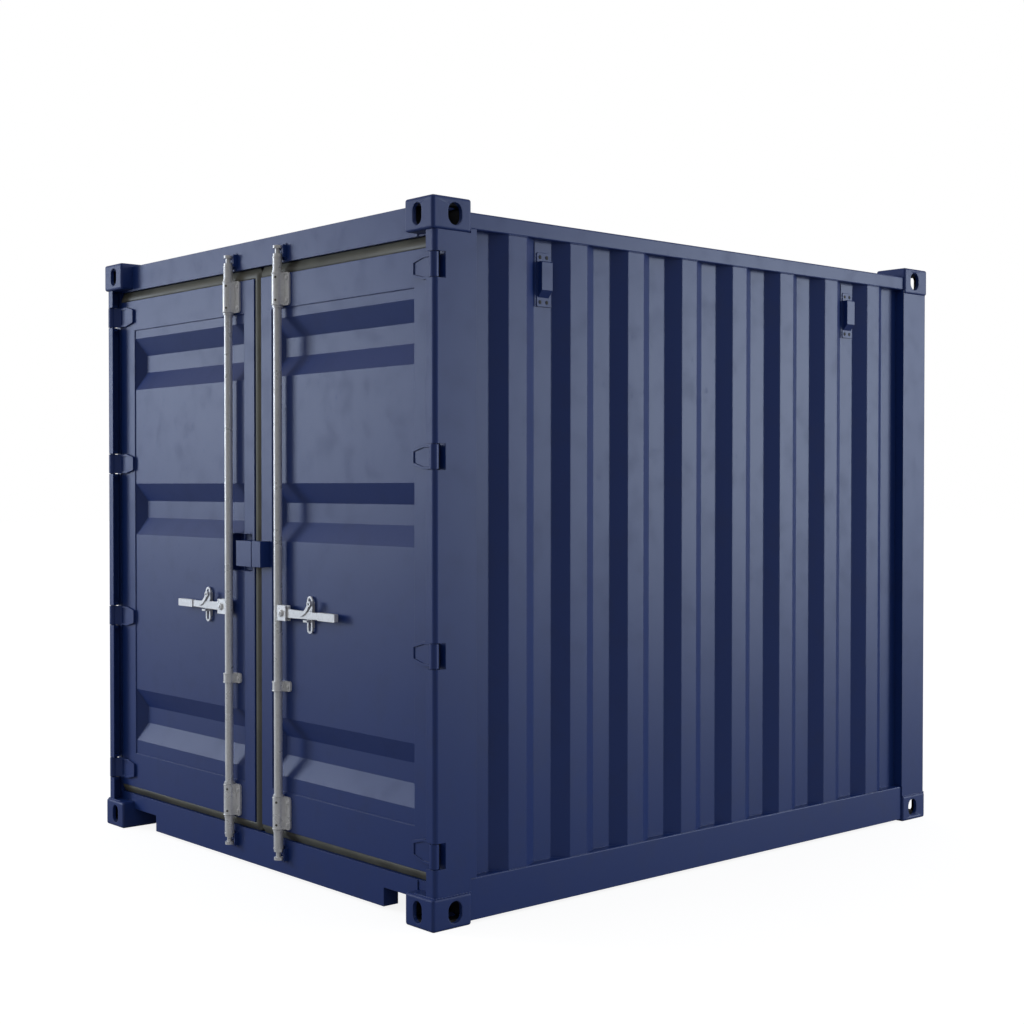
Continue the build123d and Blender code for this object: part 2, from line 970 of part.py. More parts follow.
def rod_bearings(side):
    """Two long bearing brackets and a short guide that hold a rod to its leaf.

    Each has a round sleeve on two flat sides, and a flange with round corners and a raised bead.
    """
    x = side * rod_offset
    outer = rod_radius + bearing_wall
    wide = 2 * (outer + bearing_flange)
    spans = [(z, bearing_height, leaf_face) for z in bearing_centres]
    spans.append((guide_centre, guide_height, panel_face))
    with BuildPart() as brackets:
        for z, tall, seat in spans:
            z0 = z - tall / 2
            z1 = z + tall / 2
            with BuildSketch(Plane.XZ.offset(-seat)):
                with Locations((x, z)):
                    RectangleRounded(wide, tall, bearing_corner_radius)
            extrude(amount=bearing_plate)
            with BuildSketch(Plane.XZ.offset(bearing_plate - seat)):
                with Locations((x, z)):
                    RectangleRounded(wide, tall, bearing_corner_radius)
                    RectangleRounded(
                        wide - 2 * bearing_bead,
                        tall - 2 * bearing_bead,
                        bearing_corner_radius - bearing_bead,
                        mode=Mode.SUBTRACT,
                    )
            extrude(amount=bearing_bead_rise)
            rod(x, rod_y, z0, z1, outer)
            slab(x - outer, x + outer, rod_y, seat, z0, z1)
            rod(x, rod_y, z0, z1, rod_radius + bearing_clearance, mode=Mode.SUBTRACT)
    return brackets


def cam_keepers():
    """Back plates with two cheeks and a tongue, where the cams sit in the header and the sill."""
    gap_middle = cam_shoulder + cam_prong + cam_gap / 2
    upper = rod_top - cam_length + gap_middle
    lower = rod_bottom + cam_length - gap_middle
    half = keeper_width / 2
    cheek_reach = keeper_height / 2 - keeper_cheek_inset
    plate_face = beam_face - keeper_plate
    with BuildPart() as keepers:
        for x in (-rod_offset, rod_offset):
            for z in (lower, upper):
                with BuildSketch(Plane.XZ.offset(-beam_face)):
                    with Locations((x, z)):
                        RectangleRounded(keeper_width, keeper_height, keeper_corner_radius)
                extrude(amount=keeper_plate)
                for hand in (-1, 1):
                    edge = x + hand * half
                    slab(
                        edge - hand * keeper_cheek,
                        edge,
                        plate_face - keeper_cheek_depth,
                        beam_face,
                        z - cheek_reach,
                        z + cheek_reach,
                    )
                slab(
                    x - cam_radius,
                    x + cam_radius,
                    beam_face - keeper_tongue_reach,
                    beam_face,
                    z - keeper_tongue / 2,
                    z + keeper_tongue / 2,
                )
    return keepers


def door_handle(side):
    """The handle bar with its grip, and the curved catch that crosses it and ends in a ring."""
    x = side * rod_offset
    pivot = x + side * handle_pivot_offset
    tip = x + side * handle_tip_offset
    neck = tip - side * grip_length
    half = handle_bar_height / 2
    neck_half = handle_neck_height / 2
    bar_front = rod_y - handle_bar_thickness / 2
    ring_x = x + side * catch_offset + catch_shift
    ring_z = handle_height + catch_ring_rise
    with BuildPart() as handle:
        with BuildSketch(Plane.XZ.offset(-bar_front)):
            with Locations((pivot, handle_height)):
                Circle(half)
            with BuildLine():
                Polyline(
                    (pivot, handle_height - half),
                    (neck, handle_height - neck_half),
                    (neck, handle_height + neck_half),
                    (pivot, handle_height + half),
                    close=True,
                )
            make_face()
        extrude(amount=-handle_bar_thickness)
        with BuildSketch(Plane.XZ.offset(-(rod_y - grip_thickness / 2))):
            with Locations((tip - side * grip_length / 2, handle_height)):
                RectangleRounded(grip_length, grip_height, grip_radius)
        extrude(amount=-grip_thickness)
        with BuildSketch(Plane.XZ.offset(catch_proud - bar_front)):
            with BuildLine():
                ThreePointArc(
                    (ring_x - catch_arm_reach, handle_height),
                    (ring_x - catch_arm_bow[0], handle_height + catch_arm_bow[1]),
                    (ring_x, ring_z),
                )
            trace(line_width=catch_arm_width)
            with Locations((ring_x, ring_z)):
                Circle(catch_ring_radius)
                Circle(catch_eye_radius, mode=Mode.SUBTRACT)
        extrude(amount=-catch_thickness)
        with Locations((pivot, rod_y, handle_height)):
            Cylinder(
                handle_pivot_radius + pin_clearance,
                grip_thickness,
                rotation=(90, 0, 0),
                mode=Mode.SUBTRACT,
            )
    return handle


def handle_retainer(side):
    """The round-ended plate behind the handle, with two long eyes, two cheeks and a shelf."""
    x = side * (rod_offset + catch_offset)
    plate_face = panel_face - retainer_depth
    plate_back = plate_face + retainer_plate
    shelf_top = handle_height - handle_bar_height / 2 - retainer_shelf_gap
    half = retainer_width / 2
    with BuildPart() as retainer:
        with BuildSketch(Plane.XZ.offset(-plate_face)):
            with Locations((x, handle_height)):
                SlotOverall(retainer_height, retainer_width, rotation=90)
                with GridLocations(0, 2 * retainer_slot_offset, 1, 2):
                    SlotOverall(
                        retainer_slot_height, retainer_slot_width, rotation=90, mode=Mode.SUBTRACT
                    )
        extrude(amount=-retainer_plate)
        for hand in (-1, 1):
            slab(
                x + hand * (half - retainer_cheek),
                x + hand * half,
                plate_face,
                panel_face,
                handle_height - retainer_cheek_height / 2,
                handle_height + retainer_cheek_height / 2,
            )
        slab(
            x - retainer_shelf_width / 2,
            x + retainer_shelf_width / 2,
            rod_y - handle_bar_thickness / 2,
            plate_back,
            shelf_top - retainer_shelf,
            shelf_top,
        )
    return retainer


def lock_box(side):
    """One half of the box that covers the padlock, open below; the left half lines its pocket too."""
    if side == -1:
        x0 = -lock_box_half
        x1 = lock_box_joint - lock_box_joint_gap / 2
    else:
        x0 = lock_box_joint + lock_box_joint_gap / 2
        x1 = lock_box_half
    with BuildPart() as box:
        if side == -1:
            lock_pocket(0.0, Mode.ADD)
            lock_pocket(pocket_wall, Mode.SUBTRACT)
            slab(x0, -pocket_near_side, leaf_face, pocket_back, lock_box_bottom, lock_box_top)
        slab(x0, x1, lock_box_face, leaf_face, lock_box_bottom, lock_box_top)
        slab(
            x0 + lock_box_wall,
            x1 - lock_box_wall,
            lock_box_face + lock_box_wall,
            leaf_face,
            lock_box_bottom,
            lock_box_top - lock_box_wall,
            mode=Mode.SUBTRACT,
        )
        if side == -1:
            slab(
                x0 + lock_box_wall,
                -pocket_near_side - pocket_wall,
                leaf_face,
                pocket_back - pocket_wall,
                lock_box_bottom,
                lock_box_top - lock_box_wall,
                mode=Mode.SUBTRACT,
            )
    return box


os.makedirs("parts", exist_ok=True)

side_names = {-1: "left", 1: "right"}
end_names = {-1: "front", 1: "rear"}
level_names = {-1: "bottom", 1: "top"}

for top, level_name in level_names.items():
    for end, end_name in end_names.items():
        for side, side_name in side_names.items():
            save(corner_casting(side, end, top), f"{end_name}_{side_name}_{level_name}_casting")

for side, side_name in side_names.items():
    save(door_post(side), f"{side_name}_door_post")
    save(rear_post(side), f"{side_name}_rear_post")
    save(side_rail(side), f"{side_name}_bottom_rail")
    save(top_side_rail(side), f"{side_name}_top_rail")
    save(side_wall(side), f"{side_name}_wall")

save(door_header(), "door_header")
save(door_sill(), "door_sill")
save(rear_beam(top_rail_bottom, top_rail_top, top_rail_size), "rear_top_rail")
save(rear_beam(rail_bottom, rail_top, rail_flange), "rear_bottom_rail")
save(rear_wall(), "rear_wall")
save(roof_panel(), "roof_panel")
save(floor_boards(), "floor_boards")
save(cross_members(), "cross_members")
save(wall_vents(), "wall_vents")
save(cam_keepers(), "cam_keepers")

for side, side_name in side_names.items():
    save(leaf_frame(side), f"{side_name}_door_frame")
    save(leaf_panel(side), f"{side_name}_door_panel")
    save(leaf_gasket(side), f"{side_name}_door_gasket")
    save(hinge_blades(side), f"{side_name}_hinge_blades")
    save(lock_rod(side), f"{side_name}_lock_rod")
    save(rod_bearings(side), f"{side_name}_rod_bearings")
    save(door_handle(side), f"{side_name}_door_handle")
    save(handle_retainer(side), f"{side_name}_handle_retainer")
    save(lock_box(side), f"{side_name}_lock_box")
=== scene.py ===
import json
from math import cos, radians, sin

import bmesh
import bpy
import numpy as np
from mathutils import Matrix, Vector


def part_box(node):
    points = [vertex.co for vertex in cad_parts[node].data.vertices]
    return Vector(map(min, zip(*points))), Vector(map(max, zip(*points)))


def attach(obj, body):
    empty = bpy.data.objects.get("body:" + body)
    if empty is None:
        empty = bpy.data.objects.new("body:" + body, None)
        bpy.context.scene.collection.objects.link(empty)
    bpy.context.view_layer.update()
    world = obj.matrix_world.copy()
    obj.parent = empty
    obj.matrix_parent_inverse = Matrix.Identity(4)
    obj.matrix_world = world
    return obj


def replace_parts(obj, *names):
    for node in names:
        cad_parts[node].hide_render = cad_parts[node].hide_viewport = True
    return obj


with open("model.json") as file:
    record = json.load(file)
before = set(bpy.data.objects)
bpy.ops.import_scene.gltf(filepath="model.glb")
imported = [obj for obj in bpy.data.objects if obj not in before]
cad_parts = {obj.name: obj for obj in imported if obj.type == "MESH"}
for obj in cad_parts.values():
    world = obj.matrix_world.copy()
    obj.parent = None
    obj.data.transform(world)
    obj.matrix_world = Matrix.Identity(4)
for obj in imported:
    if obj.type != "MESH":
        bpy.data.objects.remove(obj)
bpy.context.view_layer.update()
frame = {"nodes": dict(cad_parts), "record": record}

nodes = frame["nodes"]


def linked(name, data):
    """A new object in the scene, from its data."""
    made = bpy.data.objects.new(name, data)
    bpy.context.scene.collection.objects.link(made)
    return made


# The camera: found from the corner castings' places in the photograph

IMAGE_SIDE = 1024.0
FOCAL_PIXELS = 1581.3
SENSOR = 36.0
CAMERA_PLACE = (5.541, -4.9448, 1.5693)
CAMERA_YAW = 48.54
CAMERA_PITCH = -0.915
CAMERA_ROLL = 0.018


def camera():
    """The photograph's viewpoint, as a heading from +Y towards -X, a tilt and a roll."""
    data = bpy.data.cameras.new("camera")
    data.sensor_width = SENSOR
    data.lens = FOCAL_PIXELS * SENSOR / IMAGE_SIDE
    made = linked("camera", data)
    yaw, pitch, roll = radians(CAMERA_YAW), radians(CAMERA_PITCH), radians(CAMERA_ROLL)
    ahead = Vector((-sin(yaw) * cos(pitch), cos(yaw) * cos(pitch), sin(pitch)))
    level = Vector((cos(yaw), sin(yaw), 0.0))
    upright = level.cross(ahead)
    right = level * cos(roll) + upright * sin(roll)
    up = -level * sin(roll) + upright * cos(roll)
    turn = Matrix((right, up, -ahead)).transposed()
    made.matrix_world = Matrix.Translation(CAMERA_PLACE) @ turn.to_4x4()
    bpy.context.scene.camera = made


camera()


# Shader nodes

def shader_group(name, inputs, outputs):
    """An empty node group with named sockets; an input is its name, kind and value."""
    group = bpy.data.node_groups.new(name, "ShaderNodeTree")
    for label, kind, value in inputs:
        socket = group.interface.new_socket(label, in_out="INPUT", socket_type=kind)
        if value is not None:
            socket.default_value = value
    for label, kind in outputs:
        group.interface.new_socket(label, in_out="OUTPUT", socket_type=kind)
    return group, group.nodes.new("NodeGroupInput"), group.nodes.new("NodeGroupOutput")


def node(tree, kind, **settings):
    """A new node in a tree, with its properties or its sockets' values set by name."""
    made = tree.nodes.new(kind)
    for key, value in settings.items():
        if hasattr(made, key):
            setattr(made, key, value)
        else:
            made.inputs[key.replace("_", " ")].default_value = value
    return made


def math_node(tree, operation, a, b=None, c=None):
    """One Math node fed by numbers or by sockets."""
    made = tree.nodes.new("ShaderNodeMath")
    made.operation = operation
    for slot, value in enumerate((a, b, c)):
        if value is None:
            continue
        if isinstance(value, (int, float)):
            made.inputs[slot].default_value = value
        else:
            tree.links.new(value, made.inputs[slot])
    return made.outputs[0]


def spread(tree, value, low, high, to_low=0.0, to_high=1.0):
    """A value's range from low to high, eased and mapped to a new range."""
    made = tree.nodes.new("ShaderNodeMapRange")
    made.interpolation_type = "SMOOTHSTEP"
    tree.links.new(value, made.inputs["Value"])
    for label, number in (("From Min", low), ("From Max", high), ("To Min", to_low), ("To Max", to_high)):
        made.inputs[label].default_value = number
    return made.outputs["Result"]


def mixed(tree, factor, a, b):
    """A colour between a and b."""
    made = tree.nodes.new("ShaderNodeMix")
    made.data_type = "RGBA"
    for slot, value in ((0, factor), (6, a), (7, b)):
        if isinstance(value, bpy.types.NodeSocket):
            tree.links.new(value, made.inputs[slot])
        else:
            made.inputs[slot].default_value = value
    return made.outputs[2]


def tinted(tree, mask, share, base, tint):
    """A base colour, turned towards a tint by a share of a mask."""
    return mixed(tree, math_node(tree, "MULTIPLY", mask, share), base, tint)


# Shader groups that several materials share

# For each mask of the weathering, the noise's detail and the values between which the mask rises
WEATHER_MASKS = {"Fade": (3.0, 0.35, 0.68), "Grime": (6.0, 0.45, 0.75), "Scuff": (5.0, 0.62, 0.72)}
NOISE_ROUGHNESS = 0.6


def build_weathering():
    """Masks for a surface out of doors, from three noises: broad fading, fine grime and rubbed marks."""
    group, source, sink = shader_group(
        "steel_weathering",
        [("Place", "NodeSocketVector", None), ("Fade Size", "NodeSocketFloat", 1.2),
         ("Grime Size", "NodeSocketFloat", 9.0), ("Scuff Size", "NodeSocketFloat", 40.0)],
        [(label, "NodeSocketFloat") for label in WEATHER_MASKS],
    )
    for label, (detail, low, high) in WEATHER_MASKS.items():
        noise = node(group, "ShaderNodeTexNoise", Detail=detail, Roughness=NOISE_ROUGHNESS)
        group.links.new(source.outputs["Place"], noise.inputs["Vector"])
        group.links.new(source.outputs[label + " Size"], noise.inputs["Scale"])
        group.links.new(spread(group, noise.outputs["Fac"], low, high), sink.inputs[label])
    return group


DIMPLE_HEIGHT = 0.05


def build_orange_peel():
    """A bump height for sprayed paint: fine dimples over a slow waviness of the plate."""
    group, source, sink = shader_group(
        "sprayed_surface",
        [("Place", "NodeSocketVector", None), ("Peel Size", "NodeSocketFloat", 420.0),
         ("Wave Size", "NodeSocketFloat", 5.0), ("Wave", "NodeSocketFloat", 0.5)],
        [("Height", "NodeSocketFloat")],
    )
    fine = node(group, "ShaderNodeTexNoise", Detail=1.0)
    slow = node(group, "ShaderNodeTexNoise", Detail=2.0)
    for texture, size in ((fine, "Peel Size"), (slow, "Wave Size")):
        group.links.new(source.outputs["Place"], texture.inputs["Vector"])
        group.links.new(source.outputs[size], texture.inputs["Scale"])
    waved = math_node(group, "MULTIPLY", slow.outputs["Fac"], source.outputs["Wave"])
    dimpled = math_node(group, "MULTIPLY", fine.outputs["Fac"], DIMPLE_HEIGHT)
    group.links.new(math_node(group, "ADD", waved, dimpled), sink.inputs["Height"])
    return group


EDGE_TURN = (0.02, 0.25)


def build_edges():
    """The softened normal of a rounded edge, and a mask of how far it turns from the flat face's own.

    The mask rises with one less the cosine of the angle between the two normals.
    """
    group, source, sink = shader_group(
        "rounded_edges", [("Radius", "NodeSocketFloat", 0.003)],
        [("Edge", "NodeSocketFloat"), ("Normal", "NodeSocketVector")],
    )
    rounded = node(group, "ShaderNodeBevel", samples=4)
    group.links.new(source.outputs["Radius"], rounded.inputs["Radius"])
    flat = group.nodes.new("ShaderNodeNewGeometry")
    alike = group.nodes.new("ShaderNodeVectorMath")
    alike.operation = "DOT_PRODUCT"
    group.links.new(rounded.outputs["Normal"], alike.inputs[0])
    group.links.new(flat.outputs["Normal"], alike.inputs[1])
    turned_away = math_node(group, "SUBTRACT", 1.0, alike.outputs["Value"])
    group.links.new(spread(group, turned_away, *EDGE_TURN), sink.inputs["Edge"])
    group.links.new(rounded.outputs["Normal"], sink.inputs["Normal"])
    return group


WEATHERING = build_weathering()
SPRAYED = build_orange_peel()
EDGES = build_edges()


# Materials

def new_material(name):
    """A material with its Principled shader and the object's own coordinates."""
    material = bpy.data.materials.new(name)
    material.use_nodes = True
    tree = material.node_tree
    place = tree.nodes.new("ShaderNodeTexCoord").outputs["Object"]
    return material, tree, tree.nodes["Principled BSDF"], place


def placed(tree, group, place=None, **values):
    """A group node fed with the place and its own values."""
    made = tree.nodes.new("ShaderNodeGroup")
    made.node_tree = group
    if place is not None:
        tree.links.new(place, made.inputs["Place"])
    for key, value in values.items():
        made.inputs[key.replace("_", " ")].default_value = value
    return made


def bump(tree, shader, height, distance, edges=None):
    """Feeds a height, over the rounded edges' normal, to the shader's normal."""
    made = node(tree, "ShaderNodeBump", Distance=distance, Strength=1.0)
    tree.links.new(height, made.inputs["Height"])
    if edges is not None:
        tree.links.new(edges.outputs["Normal"], made.inputs["Normal"])
    tree.links.new(made.outputs["Normal"], shader.inputs["Normal"])


def dulled(tree, shader, roughness, *masks):
    """Feeds the shader's roughness: a clean surface's, and more where masks lie, each with its share."""
    for mask, share in masks:
        roughness = math_node(tree, "MULTIPLY_ADD", mask, share, roughness)
    tree.links.new(roughness, shader.inputs["Roughness"])


def stretched(tree, place, scale):
    """The place with each axis drawn out or pressed together."""
    made = tree.nodes.new("ShaderNodeMapping")
    made.inputs["Scale"].default_value = scale
    tree.links.new(place, made.inputs["Vector"])
    return made.outputs["Vector"]


# Paler paint on every rounded edge: partly rubbed wear, partly a painted highlight where edges catch the
# light
RUBBED_PAINT_AND_EDGE_HIGHLIGHT = (0.050, 0.072, 0.165, 1)
PAINT_GRIME = (0.012, 0.014, 0.020, 1)
PAINT_FADE_SHARE = 0.5
PAINT_GRIME_SHARE = 0.10
EDGE_WEAR_AND_HIGHLIGHT = 0.30
SCUFFED_EDGE_WEAR_AND_HIGHLIGHT = 0.5
GRIME_DULLS_PAINT = 0.045
SCUFFS_DULL_PAINT = 0.06


def paint(name, deep, faded, roughness, edge_radius=0.0025, peel=420.0, wave=0.5, depth=0.0008,
          wave_stretch=(1.0, 1.0, 1.0)):
    """Sprayed paint on steel: a little faded in patches, duller where grime sits, and paler on every rounded
    edge, partly as wear and partly as a painted highlight.
    """
    material, tree, shader, place = new_material(name)
    marks = placed(tree, WEATHERING, place)
    film = placed(tree, SPRAYED, stretched(tree, place, wave_stretch), Peel_Size=peel, Wave=wave)
    edges = placed(tree, EDGES, Radius=edge_radius)
    patchy = tinted(tree, marks.outputs["Fade"], PAINT_FADE_SHARE, deep, faded)
    wear_and_highlight = math_node(tree, "MULTIPLY_ADD", marks.outputs["Scuff"], SCUFFED_EDGE_WEAR_AND_HIGHLIGHT, EDGE_WEAR_AND_HIGHLIGHT)
    # Edges turn paler: wear, together with a painted highlight along every edge
    edged = tinted(tree, edges.outputs["Edge"], wear_and_highlight, patchy, RUBBED_PAINT_AND_EDGE_HIGHLIGHT)
    grimy = tinted(tree, marks.outputs["Grime"], PAINT_GRIME_SHARE, edged, PAINT_GRIME)
    tree.links.new(grimy, shader.inputs["Base Color"])
    dulled(tree, shader, roughness, (marks.outputs["Grime"], GRIME_DULLS_PAINT),
           (marks.outputs["Scuff"], SCUFFS_DULL_PAINT))
    bump(tree, shader, film.outputs["Height"], depth, edges)
    return material


PAINT_DEEP = (0.0065, 0.0260, 0.138, 1)
PAINT_FADED = (0.0085, 0.0300, 0.150, 1)
NAVY = paint("navy_paint", PAINT_DEEP, PAINT_FADED, 0.41)
SHEET_PAINT = paint("pressed_sheet_paint", PAINT_DEEP, PAINT_FADED, 0.41, edge_radius=0.006,
                    depth=0.0011, wave_stretch=(1.0, 1.6, 0.35))
CAST = paint("cast_block_paint", PAINT_DEEP, PAINT_FADED, 0.44, edge_radius=0.006, peel=160.0,
             wave=0.3, depth=0.003)
# Near-black coating: real on the underside's cross members, and painted shade inside the castings' hollows
UNDERSIDE_AND_HOLLOW_SHADE = paint("underside_coating_and_hollow_shade", (0.012, 0.013, 0.016, 1), (0.02, 0.021, 0.024, 1), 0.7)
# Near-black screw heads: painted shade standing for the dark screw holes of the vents
SCREW_HOLE_SHADE = paint("screw_head_painted_shade", (0.003, 0.003, 0.004, 1), (0.006, 0.006, 0.007, 1), 0.6,
                    edge_radius=0.0003)

SPANGLE_SIZE = 170.0
SPANGLE_SHARE = 0.35
SPANGLE_LEAST = 0.1
ZINC_METALLIC = 0.45
ZINC_GRIME = (0.20, 0.20, 0.20, 1)
ZINC_GRIME_SHARE = 0.15
ZINC_EDGE = (0.80, 0.80, 0.80, 1)
ZINC_EDGE_SHARE = 0.5
ZINC_EDGE_RADIUS = 0.0012
ZINC_DULLED = 0.14
ZINC_DEPTH = 0.00006


def zinc(name, bright, dark, roughness):
    """Galvanised steel: dull crystal spangles a few millimetres wide over fine grain, with pale edges."""
    material, tree, shader, place = new_material(name)
    spangle = node(tree, "ShaderNodeTexVoronoi", Scale=SPANGLE_SIZE)
    tree.links.new(place, spangle.inputs["Vector"])
    marks = placed(tree, WEATHERING, place, Fade_Size=14.0, Grime_Size=60.0, Scuff_Size=160.0)
    edges = placed(tree, EDGES, Radius=ZINC_EDGE_RADIUS)
    tone = math_node(tree, "MULTIPLY_ADD", spangle.outputs["Color"], SPANGLE_SHARE, SPANGLE_LEAST)
    base = mixed(tree, tone, bright, dark)
    grimy = tinted(tree, marks.outputs["Grime"], ZINC_GRIME_SHARE, base, ZINC_GRIME)
    edged = tinted(tree, edges.outputs["Edge"], ZINC_EDGE_SHARE, grimy, ZINC_EDGE)
    tree.links.new(edged, shader.inputs["Base Color"])
    shader.inputs["Metallic"].default_value = ZINC_METALLIC
    dulled(tree, shader, roughness, (marks.outputs["Fade"], ZINC_DULLED))
    bump(tree, shader, marks.outputs["Grime"], ZINC_DEPTH, edges)
    return material


ZINC = zinc("galvanised_steel", (0.84, 0.84, 0.85, 1), (0.68, 0.68, 0.69, 1), 0.27)
CAST_ZINC = zinc("hot_dipped_forging", (0.78, 0.78, 0.79, 1), (0.62, 0.62, 0.63, 1), 0.36)

RUBBER_DARK = (0.060, 0.058, 0.044, 1)
RUBBER_BLOOM = (0.095, 0.091, 0.070, 1)
RUBBER_DUST = (0.090, 0.085, 0.065, 1)
RUBBER_DUST_SHARE = 0.25
RUBBER_ROUGHNESS = 0.45
RUBBER_DULLED = 0.12
RUBBER_DEPTH = 0.0003


def rubber(name):
    """Dull weathered rubber with a faint bloom."""
    material, tree, shader, place = new_material(name)
    marks = placed(tree, WEATHERING, place, Fade_Size=6.0, Grime_Size=30.0, Scuff_Size=90.0)
    base = mixed(tree, marks.outputs["Fade"], RUBBER_DARK, RUBBER_BLOOM)
    dusty = tinted(tree, marks.outputs["Grime"], RUBBER_DUST_SHARE, base, RUBBER_DUST)
    tree.links.new(dusty, shader.inputs["Base Color"])
    dulled(tree, shader, RUBBER_ROUGHNESS, (marks.outputs["Fade"], RUBBER_DULLED))
    bump(tree, shader, marks.outputs["Grime"], RUBBER_DEPTH)
    return material


RUBBER = rubber("door_seal_rubber")

SHEET_LENGTH = 1.22
JOINT_SHARE = 0.003
GRAIN_STRETCH = (1.6, 26.0, 26.0)
WOOD_PALE = (0.33, 0.19, 0.095, 1)
WOOD_DARK = (0.15, 0.08, 0.04, 1)
WOOD_DIRT = (0.10, 0.07, 0.05, 1)
WOOD_DIRT_SHARE = 0.5
WOOD_JOINT = (0.012, 0.010, 0.009, 1)
WOOD_ROUGHNESS = 0.55
WOOD_DULLED = 0.15
WOOD_DEPTH = 0.0008


def plywood(name):
    """Worn deck plywood: grain across the container, darker streaks, and a dark joint at each sheet's end.

    A joint is where the place along the container, as a share of a sheet's length, is half past a
    whole number.
    """
    material, tree, shader, place = new_material(name)
    grain = node(tree, "ShaderNodeTexNoise", Scale=1.0, Detail=8.0, Distortion=0.6)
    tree.links.new(stretched(tree, place, GRAIN_STRETCH), grain.inputs["Vector"])
    marks = placed(tree, WEATHERING, place, Fade_Size=2.0, Grime_Size=6.0, Scuff_Size=18.0)
    base = mixed(tree, grain.outputs["Fac"], WOOD_PALE, WOOD_DARK)
    dirty = tinted(tree, marks.outputs["Grime"], WOOD_DIRT_SHARE, base, WOOD_DIRT)
    apart = tree.nodes.new("ShaderNodeSeparateXYZ")
    tree.links.new(place, apart.inputs[0])
    along = math_node(tree, "MULTIPLY_ADD", apart.outputs["Y"], 1 / SHEET_LENGTH, 0.5)
    from_joint = math_node(tree, "PINGPONG", along, 0.5)
    joint = spread(tree, from_joint, 0.0, JOINT_SHARE, 1.0, 0.0)
    tree.links.new(mixed(tree, joint, dirty, WOOD_JOINT), shader.inputs["Base Color"])
    dulled(tree, shader, WOOD_ROUGHNESS, (marks.outputs["Fade"], WOOD_DULLED))
    bump(tree, shader, math_node(tree, "SUBTRACT", grain.outputs["Fac"], joint), WOOD_DEPTH)
    return material


PLYWOOD = plywood("deck_plywood")

by_slot = {"navy_paint": NAVY, "casting_paint": CAST, "zinc_coat": ZINC, "seal_rubber": RUBBER,
           "floor_wood": PLYWOOD, "underside_paint": UNDERSIDE_AND_HOLLOW_SHADE}
by_node = {"left_wall": SHEET_PAINT, "right_wall": SHEET_PAINT, "rear_wall": SHEET_PAINT,
           "roof_panel": SHEET_PAINT, "left_door_handle": CAST_ZINC, "right_door_handle": CAST_ZINC,
           "left_handle_retainer": CAST_ZINC, "right_handle_retainer": CAST_ZINC}
slot_of = {row["node"]: row["material_slot"] for row in frame["record"]["subparts"]}
for name, piece in nodes.items():
    piece.data.materials.clear()
    piece.data.materials.append(by_node.get(name) or by_slot[slot_of[name]])


# New pieces

def finished(name, points, faces, body, material, smooth=True):
    """One mesh piece from its points and faces, riding on a body and finished in the material given."""
    mesh = bpy.data.meshes.new(name)
    mesh.from_pydata(np.asarray(points).reshape(-1, 3).tolist(), [], faces)
    mesh.polygons.foreach_set("use_smooth", np.full(len(mesh.polygons), smooth))
    made = linked(name, mesh)
    mesh.materials.append(material)
    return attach(made, body)


def tube_faces(rings, around, closed):
    """Faces between rings of points; an open tube's ends are closed by one face each."""
    row, column = np.meshgrid(np.arange(rings if closed else rings - 1), np.arange(around), indexing="ij")
    after = (row + 1) % rings
    beside = (column + 1) % around
    quads = np.stack([row * around + column, row * around + beside,
                      after * around + beside, after * around + column], axis=-1)
    faces = quads.reshape(-1, 4).tolist()
    if not closed:
        faces.append(list(range(around))[::-1])
        faces.append(list(range((rings - 1) * around, rings * around)))
    return faces


ROUND, HEXAGON = 0, 1


def turned(profile, segments=12):
    """A closed turned shape from rows of height, radius and kind: a ring for each, a pole at each end.

    A ring's radius is the one given; for a hexagon it is that over the cosine of the angle from
    the middle of the nearest flat.
    """
    heights, radii, kinds = np.array(profile, float).T[:, :, None]
    angle = np.arange(segments) * 2 * np.pi / segments
    from_flat = (angle + np.pi / 6) % (np.pi / 3) - np.pi / 6
    radius = np.where(kinds == HEXAGON, radii / np.cos(from_flat), radii)
    height = np.broadcast_to(heights, radius.shape)
    rings = np.stack([radius * np.cos(angle), radius * np.sin(angle), height], axis=-1).reshape(-1, 3)
    poles = np.array([[0.0, 0.0, heights[0, 0]], [0.0, 0.0, heights[-1, 0]]])
    count = len(heights)
    turn = np.arange(segments)
    beside = (turn + 1) % segments
    last = (count - 1) * segments
    low = np.stack([np.full(segments, count * segments), beside, turn], axis=-1)
    high = np.stack([np.full(segments, count * segments + 1), last + turn, last + beside], axis=-1)
    return (np.concatenate([rings, poles]), tube_faces(count, segments, False)[:-2],
            low.tolist() + high.tolist())


UPRIGHT = np.eye(3)


def facing(heading):
    """The turn that points a shape's axis out level, at an angle from the doors' way out towards +X."""
    heading = np.radians(heading)
    return np.array([[np.cos(heading), np.sin(heading), 0.0], [0.0, 0.0, 1.0],
                     [np.sin(heading), -np.cos(heading), 0.0]])


def repeated(name, shape, places, turn, body, material):
    """One piece made of a turned shape set down at many places, its axis turned the same way at each."""
    points, quads, fans = shape
    places = np.array(places, float)
    all_points = (points @ turn)[None] + places[:, None]
    shift = np.arange(len(places)) * len(points)
    faces = (np.array(quads)[None] + shift[:, None, None]).reshape(-1, 4).tolist()
    faces += (np.array(fans)[None] + shift[:, None, None]).reshape(-1, 3).tolist()
    return finished(name, all_points, faces, body, material, smooth=False)


